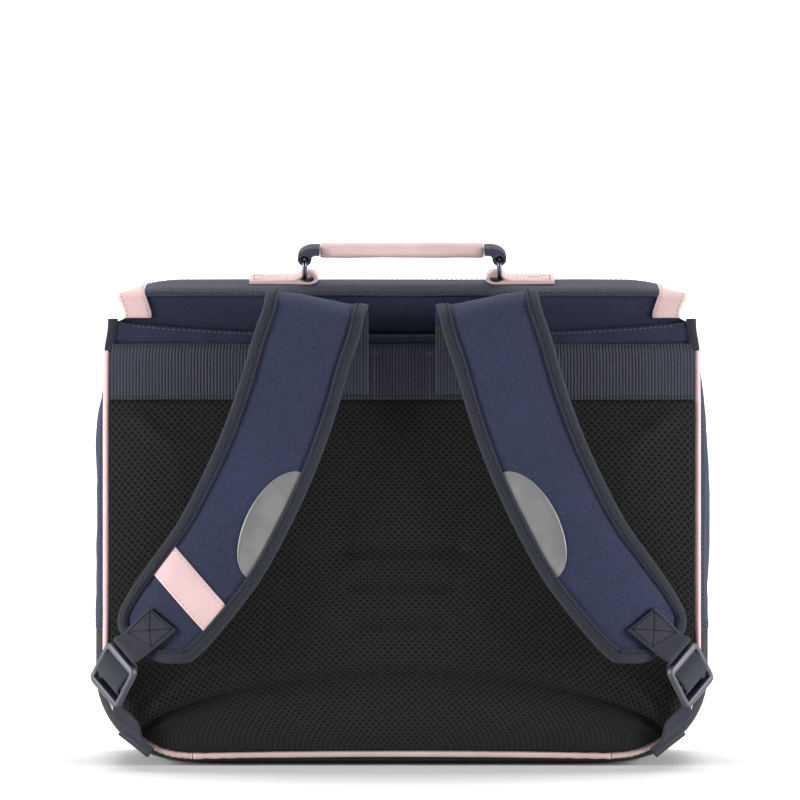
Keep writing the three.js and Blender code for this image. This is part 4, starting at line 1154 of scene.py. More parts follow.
def piping_radius(wrinkled):
    def radius(u, turn):
        seam = 0.00012 * math.cos(3 * turn)
        if not wrinkled(u):
            return PIPING_RADIUS + seam
        fold = 0.00022 * math.sin(u * 19 + 0.8 * math.sin(turn)) * wrinkled(u)
        return PIPING_RADIUS - 0.0001 + seam + fold
    return radius


def make_piping():
    y = REAR + PIPING_OFFSET
    side_points = [(half_width_at(z), z) for z in np.linspace(PIPING_TOP, CORNER_HEIGHT, 6)]
    for turn in np.linspace(0, math.pi / 2, 8)[1:]:
        x = CORNER_OUT + CORNER_RADIUS * math.cos(turn)
        side_points.append((x, CORNER_HEIGHT - CORNER_RADIUS * math.sin(turn)))
    for label, side in (("left", -1), ("right", 1)):
        route = Route([(side * x, y, z) for x, z in side_points])
        form = bar_along(route, piping_radius(lambda u: smooth(4, 6.5, u)), step=0.0012)
        add_piece(f"piping_{label}_leather", form, finish_of("leather"), "pink_leather", f"piping_{label}")
    half = PIPING_SPLICE - SEAM_GAP
    arch = [(x, y, PIPING_HEIGHT + PIPING_ARCH * (1 - (x / half) ** 2)) for x in np.linspace(-half, half, 9)]
    ends = piping_radius(lambda u: smooth(1.5, 0.2, u) if u < 4 else smooth(6.5, 7.8, u))
    form = bar_along(Route(arch), ends, step=0.002, up=(0, -1, 0))
    add_piece("piping_bottom_leather", form, finish_of("leather"), "pink_leather", "piping_bottom")


class Lid:
    """The curve of the lid in the side view, swept across its width"""

    def __init__(self):
        back = BACK_BOARD + SEAM_GAP
        front = CASE_DEPTH + SEAM_GAP + LID_THICKNESS
        points = [(0, back + (front - back) * row["deep"],
                   BACK_TOP + LID_SEAM_RISE + LID_RISE * row["up"]) for row in LID_ROWS]
        points.append((0, front, (LID_FRONT_END + BACK_TOP) / 2))
        points.append((0, front, LID_FRONT_END))
        self.route = Route(points)
        self.last = len(points) - 1

    def row_value(self, t, key):
        if t > len(LID_ROWS) - 1:
            return 0.0
        low = int(t)
        high = min(low + 1, len(LID_ROWS) - 1)
        return mixed(LID_ROWS[low][key], LID_ROWS[high][key], t - low)

    @lru_cache(maxsize=None)
    def row(self, t):
        place = self.route.place(t)
        half = LID_HALF - LID_EAR_TAPER * self.row_value(t, "taper")
        return place[1], place[2], half, LID_SHOULDER_DROP * self.row_value(t, "droop")

    def skin(self, t, across):
        """The point of the lid's outer face at a share across it"""
        y, z, half, drop = self.row(t)
        edge = max(0.0, (abs(across) * LID_HALF - LID_HALF + LID_SHOULDER) / LID_SHOULDER)
        return np.array([across * half, REAR + y, z - drop * edge * edge])

    @lru_cache(maxsize=None)
    def out(self, t, across):
        """The way out of the lid's face"""
        low, high = max(t - 0.12, 0), min(t + 0.12, self.last)
        down = self.skin(high, across) - self.skin(low, across)
        return unit(np.cross(self.skin(t, across + 0.01) - self.skin(t, across - 0.01), down))

    def point(self, t, across, over):
        return self.skin(t, across) + self.out(t, across) * over


def shares_across(count, full=1.0):
    """Shares across a piece, closer together at its edges"""
    return np.sin(np.linspace(-1, 1, count) * math.pi / 2) * full


def lid_sag(t, across):
    """Slight dips of the lid between its stiff edges"""
    return ripple((across * 0.19, t * 0.02, 0), 0.05, 0.0007, 9) * (1 - abs(across) ** 4)


def make_lid():
    lid = Lid()
    rows = lid.route.even(0.0026)
    form = slab(rows, shares_across(110), lambda t, u, w: lid.point(
        t, u, -LID_THICKNESS * (1 - w) + min(0.0, lid_sag(t, u))), rim=0.0005)
    add_piece("lid_cloth", form, finish_of("panel"), "navy_fabric", "lid")
    inner = 1 - TRIM_WIDTH / LID_HALF
    start = 0.75
    trim_rows = lid.route.even(0.002, start, lid.last)
    pieces, lines = {}, []
    for label, side in (("left", -1), ("right", 1)):
        columns = np.linspace(inner, 1, 12)
        crown = lambda u: 0.0003 * math.sin(math.pi * min(1, max(0, (u - inner) / (1 - inner))))
        pieces[label] = slab(trim_rows, columns, lambda t, u, w: lid.point(
            t, side * u, TRIM_GAP + (TRIM_THICKNESS + crown(u)) * w), rim=0.0005)
        add_piece(f"lid_trim_{label}_leather", pieces[label], finish_of("leather"), "pink_leather",
                  f"lid_trim_{label}")
        for u in (inner + 0.010, 1 - 0.010):
            lines.append([(lid.point(t, side * u, TRIM_GAP + TRIM_THICKNESS + 0.0002), lid.out(t, u))
                          for t in lid.route.even(0.004, start + 0.1, lid.last - 0.05)])
    add_stitches("lid_trim_stitches", lines, "pink_thread", "pink_leather", 1.0, 0.8, 0.9)
    low, high = 2.15, 6.1
    half = 1 - (TRIM_WIDTH + SEAM_GAP) / LID_HALF
    tape_rows = lid.route.even(0.0012, low, high)
    tape = slab(tape_rows, np.linspace(-half, half, 160), lambda t, u, w: lid.point(
        t, u, PATCH_GAP + WEBBING_THICKNESS * w + ripple((u * 0.19, t * 0.01, 1), 0.03, 0.0003, 3) * w),
        rim=0.0003)
    add_piece("lid_webbing_tape", tape, finish_of("tape"), "grey_webbing", "lid_webbing")
    tape_lines = [[(lid.point(t, u, PATCH_GAP + WEBBING_THICKNESS + 0.0001), lid.out(t, u))
                   for u in np.linspace(-half + 0.005, half - 0.005, 60)] for t in (low + 0.28, high - 0.28)]
    add_stitches("lid_webbing_stitches", tape_lines, "dark_thread", "grey_webbing")


class Handle:
    """The handle's frame, which lies on the sloping webbing of the lid"""

    def __init__(self):
        lid = Lid()
        tries = [lid.point(t, 0, 0) for t in np.linspace(2.9, 6.1, 61)]
        nearest = min(tries, key=lambda point: abs(point[1] - REAR - HANDLE_BACK))
        self.origin = np.array([0, REAR + HANDLE_BACK, nearest[2] + 2 * PATCH_GAP + WEBBING_THICKNESS])

    def place(self, point):
        x, y, z = point
        cosine, sine = math.cos(HANDLE_SLOPE), math.sin(HANDLE_SLOPE)
        return self.origin + np.array([x, y * cosine - z * sine, y * sine + z * cosine])


EYE_RADIUS = RING_WIRE / 2 + TRIM_GAP
TAB_EYE = EYE_RADIUS + TAB_THICKNESS / 2
RING_TOP = TAB_EYE + RING_HEIGHT


def arc(x, z, radius, start, stop, count, height=None):
    turns = np.radians(np.linspace(start, stop, count))
    height = radius if height is None else height
    return [(x + radius * math.cos(turn), z + height * math.sin(turn)) for turn in turns]


def tab_outline():
    top = [(TAB_LENGTH, 0.0003), (TAB_LENGTH, TAB_THICKNESS), (0.0075, TAB_THICKNESS + 0.0003)]
    return top + arc(-0.0024, TAB_EYE, 0.0068, 20, 270, 24, TAB_EYE)


def loop_outline():
    outer = EYE_RADIUS + LOOP_THICKNESS
    start = GRIP_HALF + SEAM_GAP - RING_SPACING
    top, bottom = GRIP_LIFT + LOOP_THICKNESS, GRIP_LIFT - LOOP_THICKNESS
    outline = [(start, bottom), (start, top)]
    outline += arc(-outer * 1.2, RING_TOP, outer * 2.2, 90, 0, 14, top - RING_TOP)
    outline += arc(0, RING_TOP, outer, 0, -180, 20)
    outline += [(-outer, bottom - 0.001), (-outer * 1.4, bottom)]
    return outline


def ring_route():
    """Points of the ring's centre line, in the handle's YZ plane"""
    half = RING_LENGTH / 2
    outline = rounded_box(-half, TAB_EYE, half, RING_TOP, RING_BEND, 8)
    return [(0.0, y, z) for y, z in outline]


def make_handle():
    handle = Handle()
    for label, side in (("left", -1), ("right", 1)):
        def turned(point, side=side):
            x, z, y = point
            return handle.place((side * (RING_SPACING + x), y, z))

        eye = arc(-0.0020, TAB_EYE, 0.0043, 0, 360, 25, EYE_RADIUS)[:-1]
        flat_form(f"handle_tab_{label}_leather", (tab_outline(), eye), LOOP_WIDTH, 0.0005, turned,
                  finish_of("leather"), "pink_leather", f"handle_tab_{label}")
        eye = arc(0, RING_TOP, EYE_RADIUS, 0, 360, 21)[:-1]
        flat_form(f"handle_loop_{label}_webbing", (loop_outline(), eye), LOOP_WIDTH * 0.8, 0.0007, turned,
                  finish_of("tape"), "grey_webbing", f"handle_loop_{label}")
        outline = ring_route()
        rows = []
        for i, point in enumerate(outline):
            before, after = np.array(outline[i - 1]), np.array(outline[(i + 1) % len(outline)])
            along = unit(after - before)
            out = np.array([0.0, along[2], -along[1]])
            centre = np.array(point) + np.array([side * RING_SPACING, 0, 0])
            turns = np.linspace(0, 2 * math.pi, 14, endpoint=False)
            radius = RING_WIRE / 2
            rows.append([handle.place(centre + radius * (math.cos(t) * out + math.sin(t) * np.array([1, 0, 0])))
                         for t in turns])
        add_piece(f"handle_ring_{label}_metal", tube(rows, closed=True), finish_of("metal"), "gunmetal",
                  f"handle_ring_{label}")
    stitches = []
    up = handle.place((0, 0, 1)) - handle.place((0, 0, 0))
    for side in (-1, 1):
        near, far, wide = 0.012, TAB_LENGTH - 0.003, LOOP_WIDTH / 2 - 0.0025
        corners = [(near, -wide), (far, -wide), (far, wide), (near, wide), (near, -wide), (far, wide)]
        for line in (corners, [(far, -wide), (near, wide)]):
            stitches.append([(handle.place((side * (RING_SPACING + x), y, TAB_THICKNESS + 0.0001)), up)
                             for x, y in line])
    add_stitches("handle_tab_stitches", stitches, "pink_thread", "pink_leather", 0.7, 0.75)
    seam_turn = math.radians(158)

    def grip_point(x, turn):
        end = smooth(GRIP_HALF - 0.002, GRIP_HALF, abs(x))
        away = abs((turn - seam_turn + math.pi) % (2 * math.pi) - math.pi)
        under = smooth(0.0, 0.10, (seam_turn - turn) % (2 * math.pi)) * smooth(2.6, 0.9, seam_turn - turn)
        seam = 0.0006 * (1 - smooth(0.0, 0.08, away)) + 0.00045 * under * (turn < seam_turn)
        radius = GRIP_RADIUS - 0.0001 - 0.0004 * end - seam
        radius += ripple((x, math.cos(turn) * 0.01, math.sin(turn) * 0.01), 0.015, 0.0002, 7)
        return handle.place((x, math.cos(turn) * radius, GRIP_LIFT + math.sin(turn) * radius * 1.06))

    turns = np.linspace(0, 2 * math.pi, 90, endpoint=False)
    rows = [[grip_point(x, turn) for turn in turns] for x in np.linspace(-GRIP_HALF, GRIP_HALF, 90)]
    add_piece("handle_grip_leather", tube(rows), finish_of("leather"), "pink_leather", "handle_grip")


class Strap:
    """A shoulder strap as sections along one curve, from its sewn flap over the fold to its end"""

    def __init__(self, side):
        self.side = side
        flap = REAR - 2 * SEAM_GAP - WEBBING_THICKNESS - FLAP_THICKNESS / 2
        fold_end = REAR - STANDOFF * STRAP_ROWS[0]["off"]
        radius = (flap - fold_end) / 2
        height = FOLD_TOP - radius - STRAP_THICKNESS / 2
        low = WEBBING_HIGH - FLAP_SEWN - FLAP_HEM
        sections = []
        for z in (low, low + FLAP_SEWN, height - FLAP_HEM):
            sections.append({"place": (FLAP_MIDDLE, flap, z), "lean": 0, "roll": 0, "wide": 1, "thick": 0,
                             "puff": 1})
        for share in np.linspace(0, 1, 7):
            place = (mixed(FLAP_MIDDLE, FOLD_OUT, share),
                     (flap + fold_end) / 2 + radius * math.cos(math.pi * share),
                     height + radius * math.sin(math.pi * share))
            sections.append({"place": place, "lean": STRAP_ROWS[0]["lean"] * share ** 0.3, "roll": 0, "wide": 1,
                             "thick": share, "puff": 1})
        for row in STRAP_ROWS[1:]:
            place = (mixed(FOLD_OUT, STRAP_END_OUT, row["out"]), REAR - STANDOFF * row["off"],
                     mixed(height, STRAP_END_HEIGHT, row["down"]))
            sections.append({"place": place, "lean": row["lean"], "roll": row["roll"], "wide": row["wide"],
                             "thick": 1, "puff": row["puff"]})
        self.sections = sections
        self.last = len(sections) - 1
        self.route = Route([(side * s["place"][0], s["place"][1], s["place"][2]) for s in sections])
        self.face = None

    def value(self, u, key):
        low = min(int(u), self.last)
        high = min(low + 1, self.last)
        return mixed(self.sections[low][key], self.sections[high][key], u - low)

    @lru_cache(maxsize=None)
    def axes(self, u):
        lean, roll = math.radians(self.value(u, "lean")), math.radians(self.value(u, "roll"))
        along = self.route.along(u)
        across = np.array([-self.side * math.cos(lean) * math.cos(roll), -math.sin(roll),
                           -math.sin(lean) * math.cos(roll)])
        across = unit(across - along * across.dot(along))
        return across, np.cross(across, along) * self.side

    def half(self, u):
        end = max(0.0, (u - self.last + 1.2) / 1.2)
        return self.value(u, "wide") * STRAP_WIDTH / 2 * math.sqrt(1 - 0.8 * end ** 3)

    def padded_half(self, u):
        return self.half(u) - BINDING_WIDTH - SEAM_GAP

    def half_thickness(self, u, x):
        thick = self.value(u, "thick")
        edge = mixed(FLAP_THICKNESS, STRAP_EDGE, thick)
        middle = mixed(FLAP_THICKNESS, STRAP_THICKNESS, thick)
        share = 1 - smooth(0.45, 1, abs(x) / self.padded_half(u))
        return (edge + (middle - edge) * share * self.value(u, "puff")) / 2

    def point(self, u, x, height, face=1):
        """A point off the strap's smooth face, x towards its inner edge"""
        across, out = self.axes(u)
        return self.route.place(u) + across * x + out * face * (self.half_thickness(u, x) + height)

    def edge_inset(self, u):
        return self.half(u) - BINDING_THICKNESS - 0.0005

    def on_cloth(self, u, x, height):
        """A point over the cloth as it lies after its padding was blown up"""
        rows, columns = self.face.shape[:2]
        i = np.clip(np.interp(u, self.rows, range(rows)), 0, rows - 1.001)
        j = np.clip((x / self.edge_inset(u) + 1) / 2 * (columns - 1), 0, columns - 1.001)
        a, b = int(i), int(j)
        s, t = i - a, j - b
        corner = self.face[a:a + 2, b:b + 2]
        place = (corner[0, 0] * (1 - s) * (1 - t) + corner[1, 0] * s * (1 - t)
                 + corner[0, 1] * (1 - s) * t + corner[1, 1] * s * t)
        out = unit(np.cross(corner[0, 1] - corner[0, 0], corner[1, 0] - corner[0, 0])) * self.side
        if out.dot(self.axes(u)[1]) < 0:
            out = -out
        return place + out * height, out


def add_strap_cloth(label, strap):
    strap.rows = strap.route.even(0.0022)
    columns = 27
    shares = np.linspace(-1, 1, columns)
    rows = []
    for u in strap.rows:
        inner = min(u, strap.last - 0.12)
        reach = strap.edge_inset(inner)
        face = [strap.point(inner, share * reach, -0.0003) for share in shares]
        back = [strap.point(inner, share * reach, -0.0003, -1) for share in shares]
        ends = [(face[0] + back[0]) / 2, (face[-1] + back[-1]) / 2]
        rows.append(face + [ends[1]] + back[::-1] + [ends[0]])
    form = tube(rows)
    piece = new_mesh_object(f"strap_{label}_padding", form, finish_of("strap"))
    sides = 2 * columns + 2
    held = []
    for i, u in enumerate(strap.rows):
        for j in range(sides):
            column = j if j < columns else 2 * columns - j
            beside = j in (columns, sides - 1)
            share = 1.0 if beside else abs(shares[min(max(column, 0), columns - 1)])
            sewn = share * strap.edge_inset(u) > strap.padded_half(u) - 0.001
            if sewn or u < 3 or u > strap.last - 1.6:
                held.append(i * sides + j)
    inflate(piece, held, 9.0, 0.0016, stretch=5.0)
    piece.data.materials.append(finish_of("webbing"))
    for face in piece.data.polygons:
        if face.index // sides < len(strap.rows) - 1 and strap.rows[face.index // sides] < 2:
            face.material_index = 1
    along = piece.data.attributes.new("along", "FLOAT", "POINT")
    along.data.foreach_set("value", form.points[:, 0].astype(np.float32))
    points = np.array([vertex.co for vertex in piece.data.vertices]).reshape(len(strap.rows), sides, 3)
    strap.face = points[:, :columns]
    settle(piece, "strap_fabric", f"strap_{label}")


def binding_section(half):
    """A C-shaped section of tape: distances in from the edge and off the strap's middle"""
    outer = half + 0.0001 + BINDING_THICKNESS
    inner = half + 0.0001
    outside = [(BINDING_WIDTH, -outer), (BINDING_WIDTH * 0.6, -outer - 0.0001), (0.003, -outer)]
    outside += [(0.003 - 0.003 * math.sin(turn), -outer * math.cos(turn))
                for turn in np.linspace(0, math.pi, 9)[1:-1]]
    outside += [(0.003, outer), (BINDING_WIDTH * 0.6, outer + 0.0001), (BINDING_WIDTH, outer)]
    inside = [(BINDING_WIDTH, inner), (0.004, inner)]
    inside += [(0.004 - 0.003 * math.sin(turn), inner * math.cos(turn))
               for turn in np.linspace(0, math.pi, 7)[1:-1]]
    inside += [(0.004, -inner), (BINDING_WIDTH, -inner)]
    return outside + inside


def binding_edge(strap):
    """Points round the strap's edge, with the strap's row and the way out of its face"""
    down = list(strap.route.even(0.003, BINDING_START, strap.last))
    route = [(u, -1.0) for u in down] + [(strap.last, v) for v in np.linspace(-1, 1, 18)[1:-1]]
    route += [(u, 1.0) for u in down[::-1]]
    edge = []
    for u, v in route:
        across, out = strap.axes(u)
        bulge = 0.0
        edge.append((u, v, strap.route.place(u) + across * v * strap.half(u) + bulge, out))
    smoothed = [entry[2] for entry in edge]
    for _ in range(2):
        smoothed = [smoothed[0]] + [(a + 2 * b + c) / 4 for a, b, c in zip(
            smoothed, smoothed[1:], smoothed[2:])] + [smoothed[-1]]
    return [(u, v, place, out) for (u, v, _, out), place in zip(edge, smoothed)]


def add_strap_binding(label, strap):
    edge = binding_edge(strap)
    rows, lines = [], [[], []]
    for i, (u, v, place, out) in enumerate(edge):
        before = edge[max(0, i - 1)][2]
        after = edge[min(len(edge) - 1, i + 1)][2]
        inward = unit(np.cross(unit(after - before), out) * strap.side)
        half = strap.half_thickness(u, strap.half(u))
        rows.append([place + inward * a + out * b for a, b in binding_section(half)])
        for line, face in zip(lines, (1, -1)):
            height = half + BINDING_THICKNESS + 0.0002
            line.append((place + inward * (BINDING_WIDTH - 0.0022) + out * face * height, out * face))
    add_piece(f"strap_binding_{label}_tape", tube(rows), finish_of("binding"), "grey_binding",
              f"strap_binding_{label}")
    sizes = bpy.context.scene.satchel_sizes
    add_stitches(f"strap_binding_{label}_stitches", lines, "dark_thread", "grey_binding", 0.68, 0.9, 1.25,
                 sizes.zigzag)


def add_reflector(label, strap):
    def spot(a, v):
        u = REFLECTOR_MIDDLE + REFLECTOR_REACH * a
        depth = REFLECTOR_DEPTH * math.sqrt(max(0.004, 1 - a * a))
        return u, strap.padded_half(u) + 0.0006 - depth * v

    def place(a, v, w):
        u, x = spot(a, v)
        return strap.on_cloth(u, x, 0.00015 + 0.0005 * w)[0]

    shares = np.sin(np.linspace(-1, 1, 48) * math.pi / 2)
    form = slab(shares, np.linspace(0, 1, 16), place, rim=0.0001)
    add_piece(f"reflector_{label}_cloth", form, finish_of("reflector"), "silver_reflector",
              f"reflector_{label}")
    line = []
    for a in np.sin(np.linspace(-1, 1, 40) * math.pi / 2) * 0.9:
        u, x = spot(a, 1 - 0.0022 / REFLECTOR_DEPTH)
        line.append(strap.on_cloth(u, x, 0.0007))
    add_stitches(f"reflector_{label}_stitches", [line], "grey_thread", "silver_reflector", 0.8, 0.7, 0.8)


def add_strap_patch(strap):
    before, after = (strap.route.place(PATCH_MIDDLE + step) for step in (-0.5, 0.5))
    reach = PATCH_WIDTH / 2 / np.linalg.norm(after - before)
    side = strap.padded_half(PATCH_MIDDLE) + 0.0006

    def spot(a, x, height):
        tilt = PATCH_TILT * x / (PATCH_WIDTH / 2)
        return strap.on_cloth(PATCH_MIDDLE + reach * (a + tilt), x, height)

    form = slab(np.linspace(-1, 1, 16), np.linspace(-side, side, 34),
                lambda a, x, w: spot(a, x, 0.0001 + 0.0009 * w)[0], rim=0.0002)
    add_piece("strap_patch_left_leather", form, finish_of("leather"), "pink_leather", "strap_patch_left")
    lines = [[spot(a, x, 0.00105)
              for x in np.linspace(-side + 0.002, side - 0.002, 20)] for a in (-0.84, 0.84)]
    add_stitches("strap_patch_left_stitches", lines, "pink_thread", "pink_leather", 1.0, 0.55, 1.0)


class Buckle:
    """The frame of a ladder buckle: across towards the middle of the back, down it and out of its face"""

    def __init__(self, side):
        self.across = unit(np.array([side * BUCKLE_ACROSS[0], BUCKLE_ACROSS[1], BUCKLE_ACROSS[2]]))
        down = np.array([side * BUCKLE_DOWN[0], BUCKLE_DOWN[1], BUCKLE_DOWN[2]])
        self.down = unit(down - self.across * down.dot(self.across))
        self.out = np.cross(self.across, self.down) * side
        self.top = np.array([side * BUCKLE_PLACE[0], REAR - BUCKLE_PLACE[1], BUCKLE_PLACE[2]])

    def place(self, down, out, across=0.0):
        return self.top + self.down * down + self.out * out + self.across * across


def add_buckle(label, buckle):
    half = BUCKLE_WIDTH / 2
    loops = [[(x + math.copysign(0.0014, x) * math.sin(math.pi * min(1, max(0, y / BUCKLE_LENGTH))), y)
              for x, y in rounded_box(-half, 0, half, BUCKLE_LENGTH, 0.0045, 8)]]
    for start in (BUCKLE_BAR, 2 * BUCKLE_BAR + BUCKLE_WINDOW):
        loops.append(rounded_box(-half + BUCKLE_RAIL, start, half - BUCKLE_RAIL, start + BUCKLE_WINDOW, 0.0008))

    def place(point):
        across, down, out = point
        return buckle.place(down, out, across)

    flat_form(f"buckle_{label}_plastic", loops, BUCKLE_THICKNESS, 0.0012, place, finish_of("plastic"),
              "dark_plastic", f"buckle_{label}")


def band_form(rows, width, thickness, step, columns=26):
    """A band of webbing along rows that give its middle and the way across it"""
    route = Route([middle for middle, _ in rows])
    ways = np.array([unit(across) for _, across in rows])
    us = route.even(step)

    def place(u, v, w):
        low = min(int(u), len(rows) - 2)
        across = unit(mixed(ways[low], ways[low + 1], u - low))
        out = unit(np.cross(across, route.along(u)))
        return route.place(u) + across * v * width / 2 + out * (w - 0.5) * thickness

    shares = np.linspace(-1, 1, columns)
    form = slab(us, shares, place, rim=0.0002)
    reach = lengths_along(np.array([route.place(u) for u in us]))
    return form, route, place, grid_along(form, len(us), columns, np.repeat(reach, columns))


def add_band(name, rows, slot, node, cross_ribs=True):
    sizes = bpy.context.scene.satchel_sizes
    form, route, place, along = band_form(rows, NARROW_WEBBING, WEBBING_THICKNESS - 0.0003, 0.00028, 14)
    piece = new_mesh_object(name, form, finish_of("narrow"))
    add_ribs(piece, along, sizes.rib_pitch / 2, sizes.rib_depth * 0.45, "narrow")
    settle(piece, slot, node)
    return route, place


def add_strap_tab(label, strap, buckle):
    over = BUCKLE_THICKNESS / 2 + SEAM_GAP + WEBBING_THICKNESS / 2 + WEBBING_LOOSE
    over_binding = STRAP_EDGE / 2 + 0.0009 + BINDING_THICKNESS
    rows = []
    for u, x in ((strap.last - 1.9, -0.001), (strap.last - 1.2, -0.003), (strap.last - 0.5, -0.006)):
        surface = strap.half_thickness(u, x)
        lift = max(over_binding - surface, 0) + 2 * PATCH_GAP + WEBBING_THICKNESS / 2
        rows.append((strap.point(u, x, lift), strap.axes(u)[0]))
    for down, out in ((-0.004, 0.0012), (-0.0012, -0.0018), (BUCKLE_BAR / 2, -over),
                      (BUCKLE_BAR + 0.0015, -over)):
        rows.append((buckle.place(down, out), buckle.across))
    route, place = add_band(f"strap_tab_{label}_webbing", rows, "grey_webbing", f"strap_tab_{label}")
    face = 1 if np.dot(place(0.5, 0, 1) - place(0.5, 0, 0), strap.axes(strap.last - 1.5)[1]) > 0 else 0

    def spot(u, v):
        point, under = place(u, v, face), place(u, v, 1 - face)
        out = unit(point - under)
        return point + out * 0.0003, out

    corners = [(0.12, -0.8), (1.8, -0.8), (1.8, 0.8), (0.12, 0.8), (0.12, -0.8), (1.8, 0.8)]
    lines = []
    for path in (corners, [(1.8, -0.8), (0.12, 0.8)]):
        line = []
        for (u0, v0), (u1, v1) in zip(path, path[1:]):
            line += [spot(mixed(u0, u1, s), mixed(v0, v1, s)) for s in np.linspace(0, 1, 9)[:-1]]
        line.append(spot(*path[-1]))
        lines.append(line)
    add_stitches(f"strap_tab_{label}_stitches", lines, "dark_thread", "grey_webbing", 0.6, 0.7, 1.2)


def add_lower_webbing(label, side, buckle):
    over = BUCKLE_THICKNESS / 2 + SEAM_GAP + WEBBING_THICKNESS / 2 + WEBBING_LOOSE
    turn = WEBBING_CORNER
    across = np.array([-side * math.sin(turn), 0, -math.cos(turn)])

    def corner(outward, y):
        return np.array([side * (CORNER_OUT + (CORNER_RADIUS + outward) * math.cos(turn)), REAR + y,
                         CORNER_HEIGHT - (CORNER_RADIUS + outward) * math.sin(turn)])

    around = PIPING_RADIUS + PATCH_GAP + WEBBING_THICKNESS / 2
    swell = SIDE_BULGE * math.cos(turn) + PIPING_HEIGHT * math.sin(turn)
    sewn = bulge_share(WEBBING_WRAP / CASE_DEPTH) * swell + WALL / 2 + SEAM_GAP + WEBBING_THICKNESS / 2
    front = corner(0.0005, PIPING_OFFSET - around - 0.0008)
    behind = buckle.place(BUCKLE_LENGTH, -over - 0.001, 0.003)
    hanging = front + np.array([side * 0.006, -0.0055, 0.0065])
    rising = hanging + np.array([side * 0.003, -0.0035, 0.013])
    low_window = 2 * BUCKLE_BAR + BUCKLE_WINDOW
    rows = [
        (corner(sewn, WEBBING_WRAP), across),
        (corner(around + 0.0012, GUSSET_START + 0.001), across),
        (corner(around + 0.0004, 0.0002), across),
        (front, across),
        (hanging, mixed(across, buckle.across, 0.15)),
        (rising, mixed(across, buckle.across, 0.45)),
        (behind, buckle.across),
        (buckle.place(BUCKLE_LENGTH - BUCKLE_BAR - 0.0005, -over - 0.0007), buckle.across),
        (buckle.place(low_window + BUCKLE_WINDOW / 2 + 0.0006, -0.0001), buckle.across),
        (buckle.place(low_window + 0.0011, over - 0.0002), buckle.across),
        (buckle.place(low_window - BUCKLE_BAR / 2, over), buckle.across),
        (buckle.place(low_window - BUCKLE_BAR - 0.0014, over - 0.0007), buckle.across),
        (buckle.place(BUCKLE_BAR + 0.0055, over - 0.0018), buckle.across),
        (buckle.place(BUCKLE_BAR + 0.0015, -0.0004), buckle.across),
    ]
    add_band(f"lower_webbing_{label}_weave", rows, "grey_webbing", f"lower_webbing_{label}")


def make_clasps():
    for label, side in (("left", -1), ("right", 1)):
        low, high = node_box(f"clasp_{label}")
        centre, size = (low + high) / 2, high - low

        def place(point):
            x, z, y = point
            return np.array([centre[0] + x, centre[1] + y, centre[2] + z])

        loop = rounded_box(-size[0] / 2, -size[2] / 2, size[0] / 2, size[2] / 2, 0.006)
        flat_form(f"clasp_{label}_plastic", [loop], size[1], 0.002, place, finish_of("plastic"),
                  "dark_plastic", f"clasp_{label}")


def area_light(name, place, target, size, power, colour=(1, 1, 1)):
    light = bpy.data.lights.new(name, "AREA")
    light.shape = "RECTANGLE"
    light.size, light.size_y = size
    light.energy = power
    light.color = colour
    lamp = bpy.data.objects.new(name, light)
    lamp.location = place
    lamp.rotation_euler = (Vector(target) - Vector(place)).to_track_quat("-Z", "Y").to_euler()
    bpy.context.scene.collection.objects.link(lamp)
    return lamp


def make_stage():
    """Floor that curves up into a backdrop, soft lights and the camera"""
    profile = [(-3.5, 0.0), (2.0, 0.0)]
    profile += [(2.0 + 1.5 * math.sin(t), 1.5 - 1.5 * math.cos(t)) for t in np.linspace(0, math.pi / 2, 16)]
    profile.append((3.5, 5.0))
    points, faces = [], []
    for y, z in profile:
        points += [(-6.0, y, z), (6.0, y, z)]
    for i in range(len(profile) - 1):
        faces.append((2 * i, 2 * i + 1, 2 * i + 3, 2 * i + 2))
    mesh = bpy.data.meshes.new("studio_sweep")
    mesh.from_pydata(points, [], faces)
    mesh.shade_smooth()
    paper = Finish("pale_paper", 0.9)
    paper.colour(paper.cloud(3.0), (0.93, 0.93, 0.93, 1.0), (0.95, 0.95, 0.95, 1.0))
    mesh.materials.append(paper.material)
    sweep = bpy.data.objects.new("studio_sweep", mesh)
    bpy.context.scene.collection.objects.link(sweep)
    world = bpy.data.worlds.new("studio")
    world.use_nodes = True
    world.node_tree.nodes["Background"].inputs[0].default_value = (1.0, 1.0, 1.0, 1.0)
    world.node_tree.nodes["Background"].inputs[1].default_value = 0.06
    bpy.context.scene.world = world
    bpy.context.scene.view_settings.view_transform = "Standard"
    target = (0, REAR, 0.2)
    area_light("left_softbox", (-1.98, REAR - 0.68, 0.40), target, (0.9, 1.0), 66)
    area_light("right_softbox", (1.98, REAR - 0.68, 0.40), target, (0.9, 1.0), 64)
    area_light("top_softbox", (0, 0.30, 1.5), (0, 0.10, 0), (1.6, 0.6), 17)
    area_light("backdrop_light", (0, 1.2, 2.6), (0, 3.2, 0.5), (3.5, 1.0), 120)
    camera = bpy.data.cameras.new("photo_camera")
    camera.lens = 213.7
    camera.sensor_width = 36
    camera.clip_end = 50
    seat = bpy.data.objects.new("photo_camera", camera)
    seat.location = (-0.00135, REAR - 3.2, 0.2467)
    seat.rotation_euler = (math.radians(90), 0, 0)
    bpy.context.scene.collection.objects.link(seat)
    bpy.context.scene.camera = seat


class SATCHEL_OT_stage(bpy.types.Operator):
    """Make the floor, the lights and the camera"""

    bl_idname = "satchel.stage"
    bl_label = "Stage"

    def execute(self, context):
        make_stage()
        return {"FINISHED"}


class SATCHEL_OT_case(bpy.types.Operator):
    """Make the cloth of the case: sides, base, front and back"""

    bl_idname = "satchel.case"
    bl_label = "Case"

    def execute(self, context):
        make_gussets()
        make_base()
        make_front()
        make_back()
        make_hem_ends()
        add_stitches("case_seam_stitches", seam_lines_of_case(), "dark_thread", "navy_fabric")
        return {"FINISHED"}


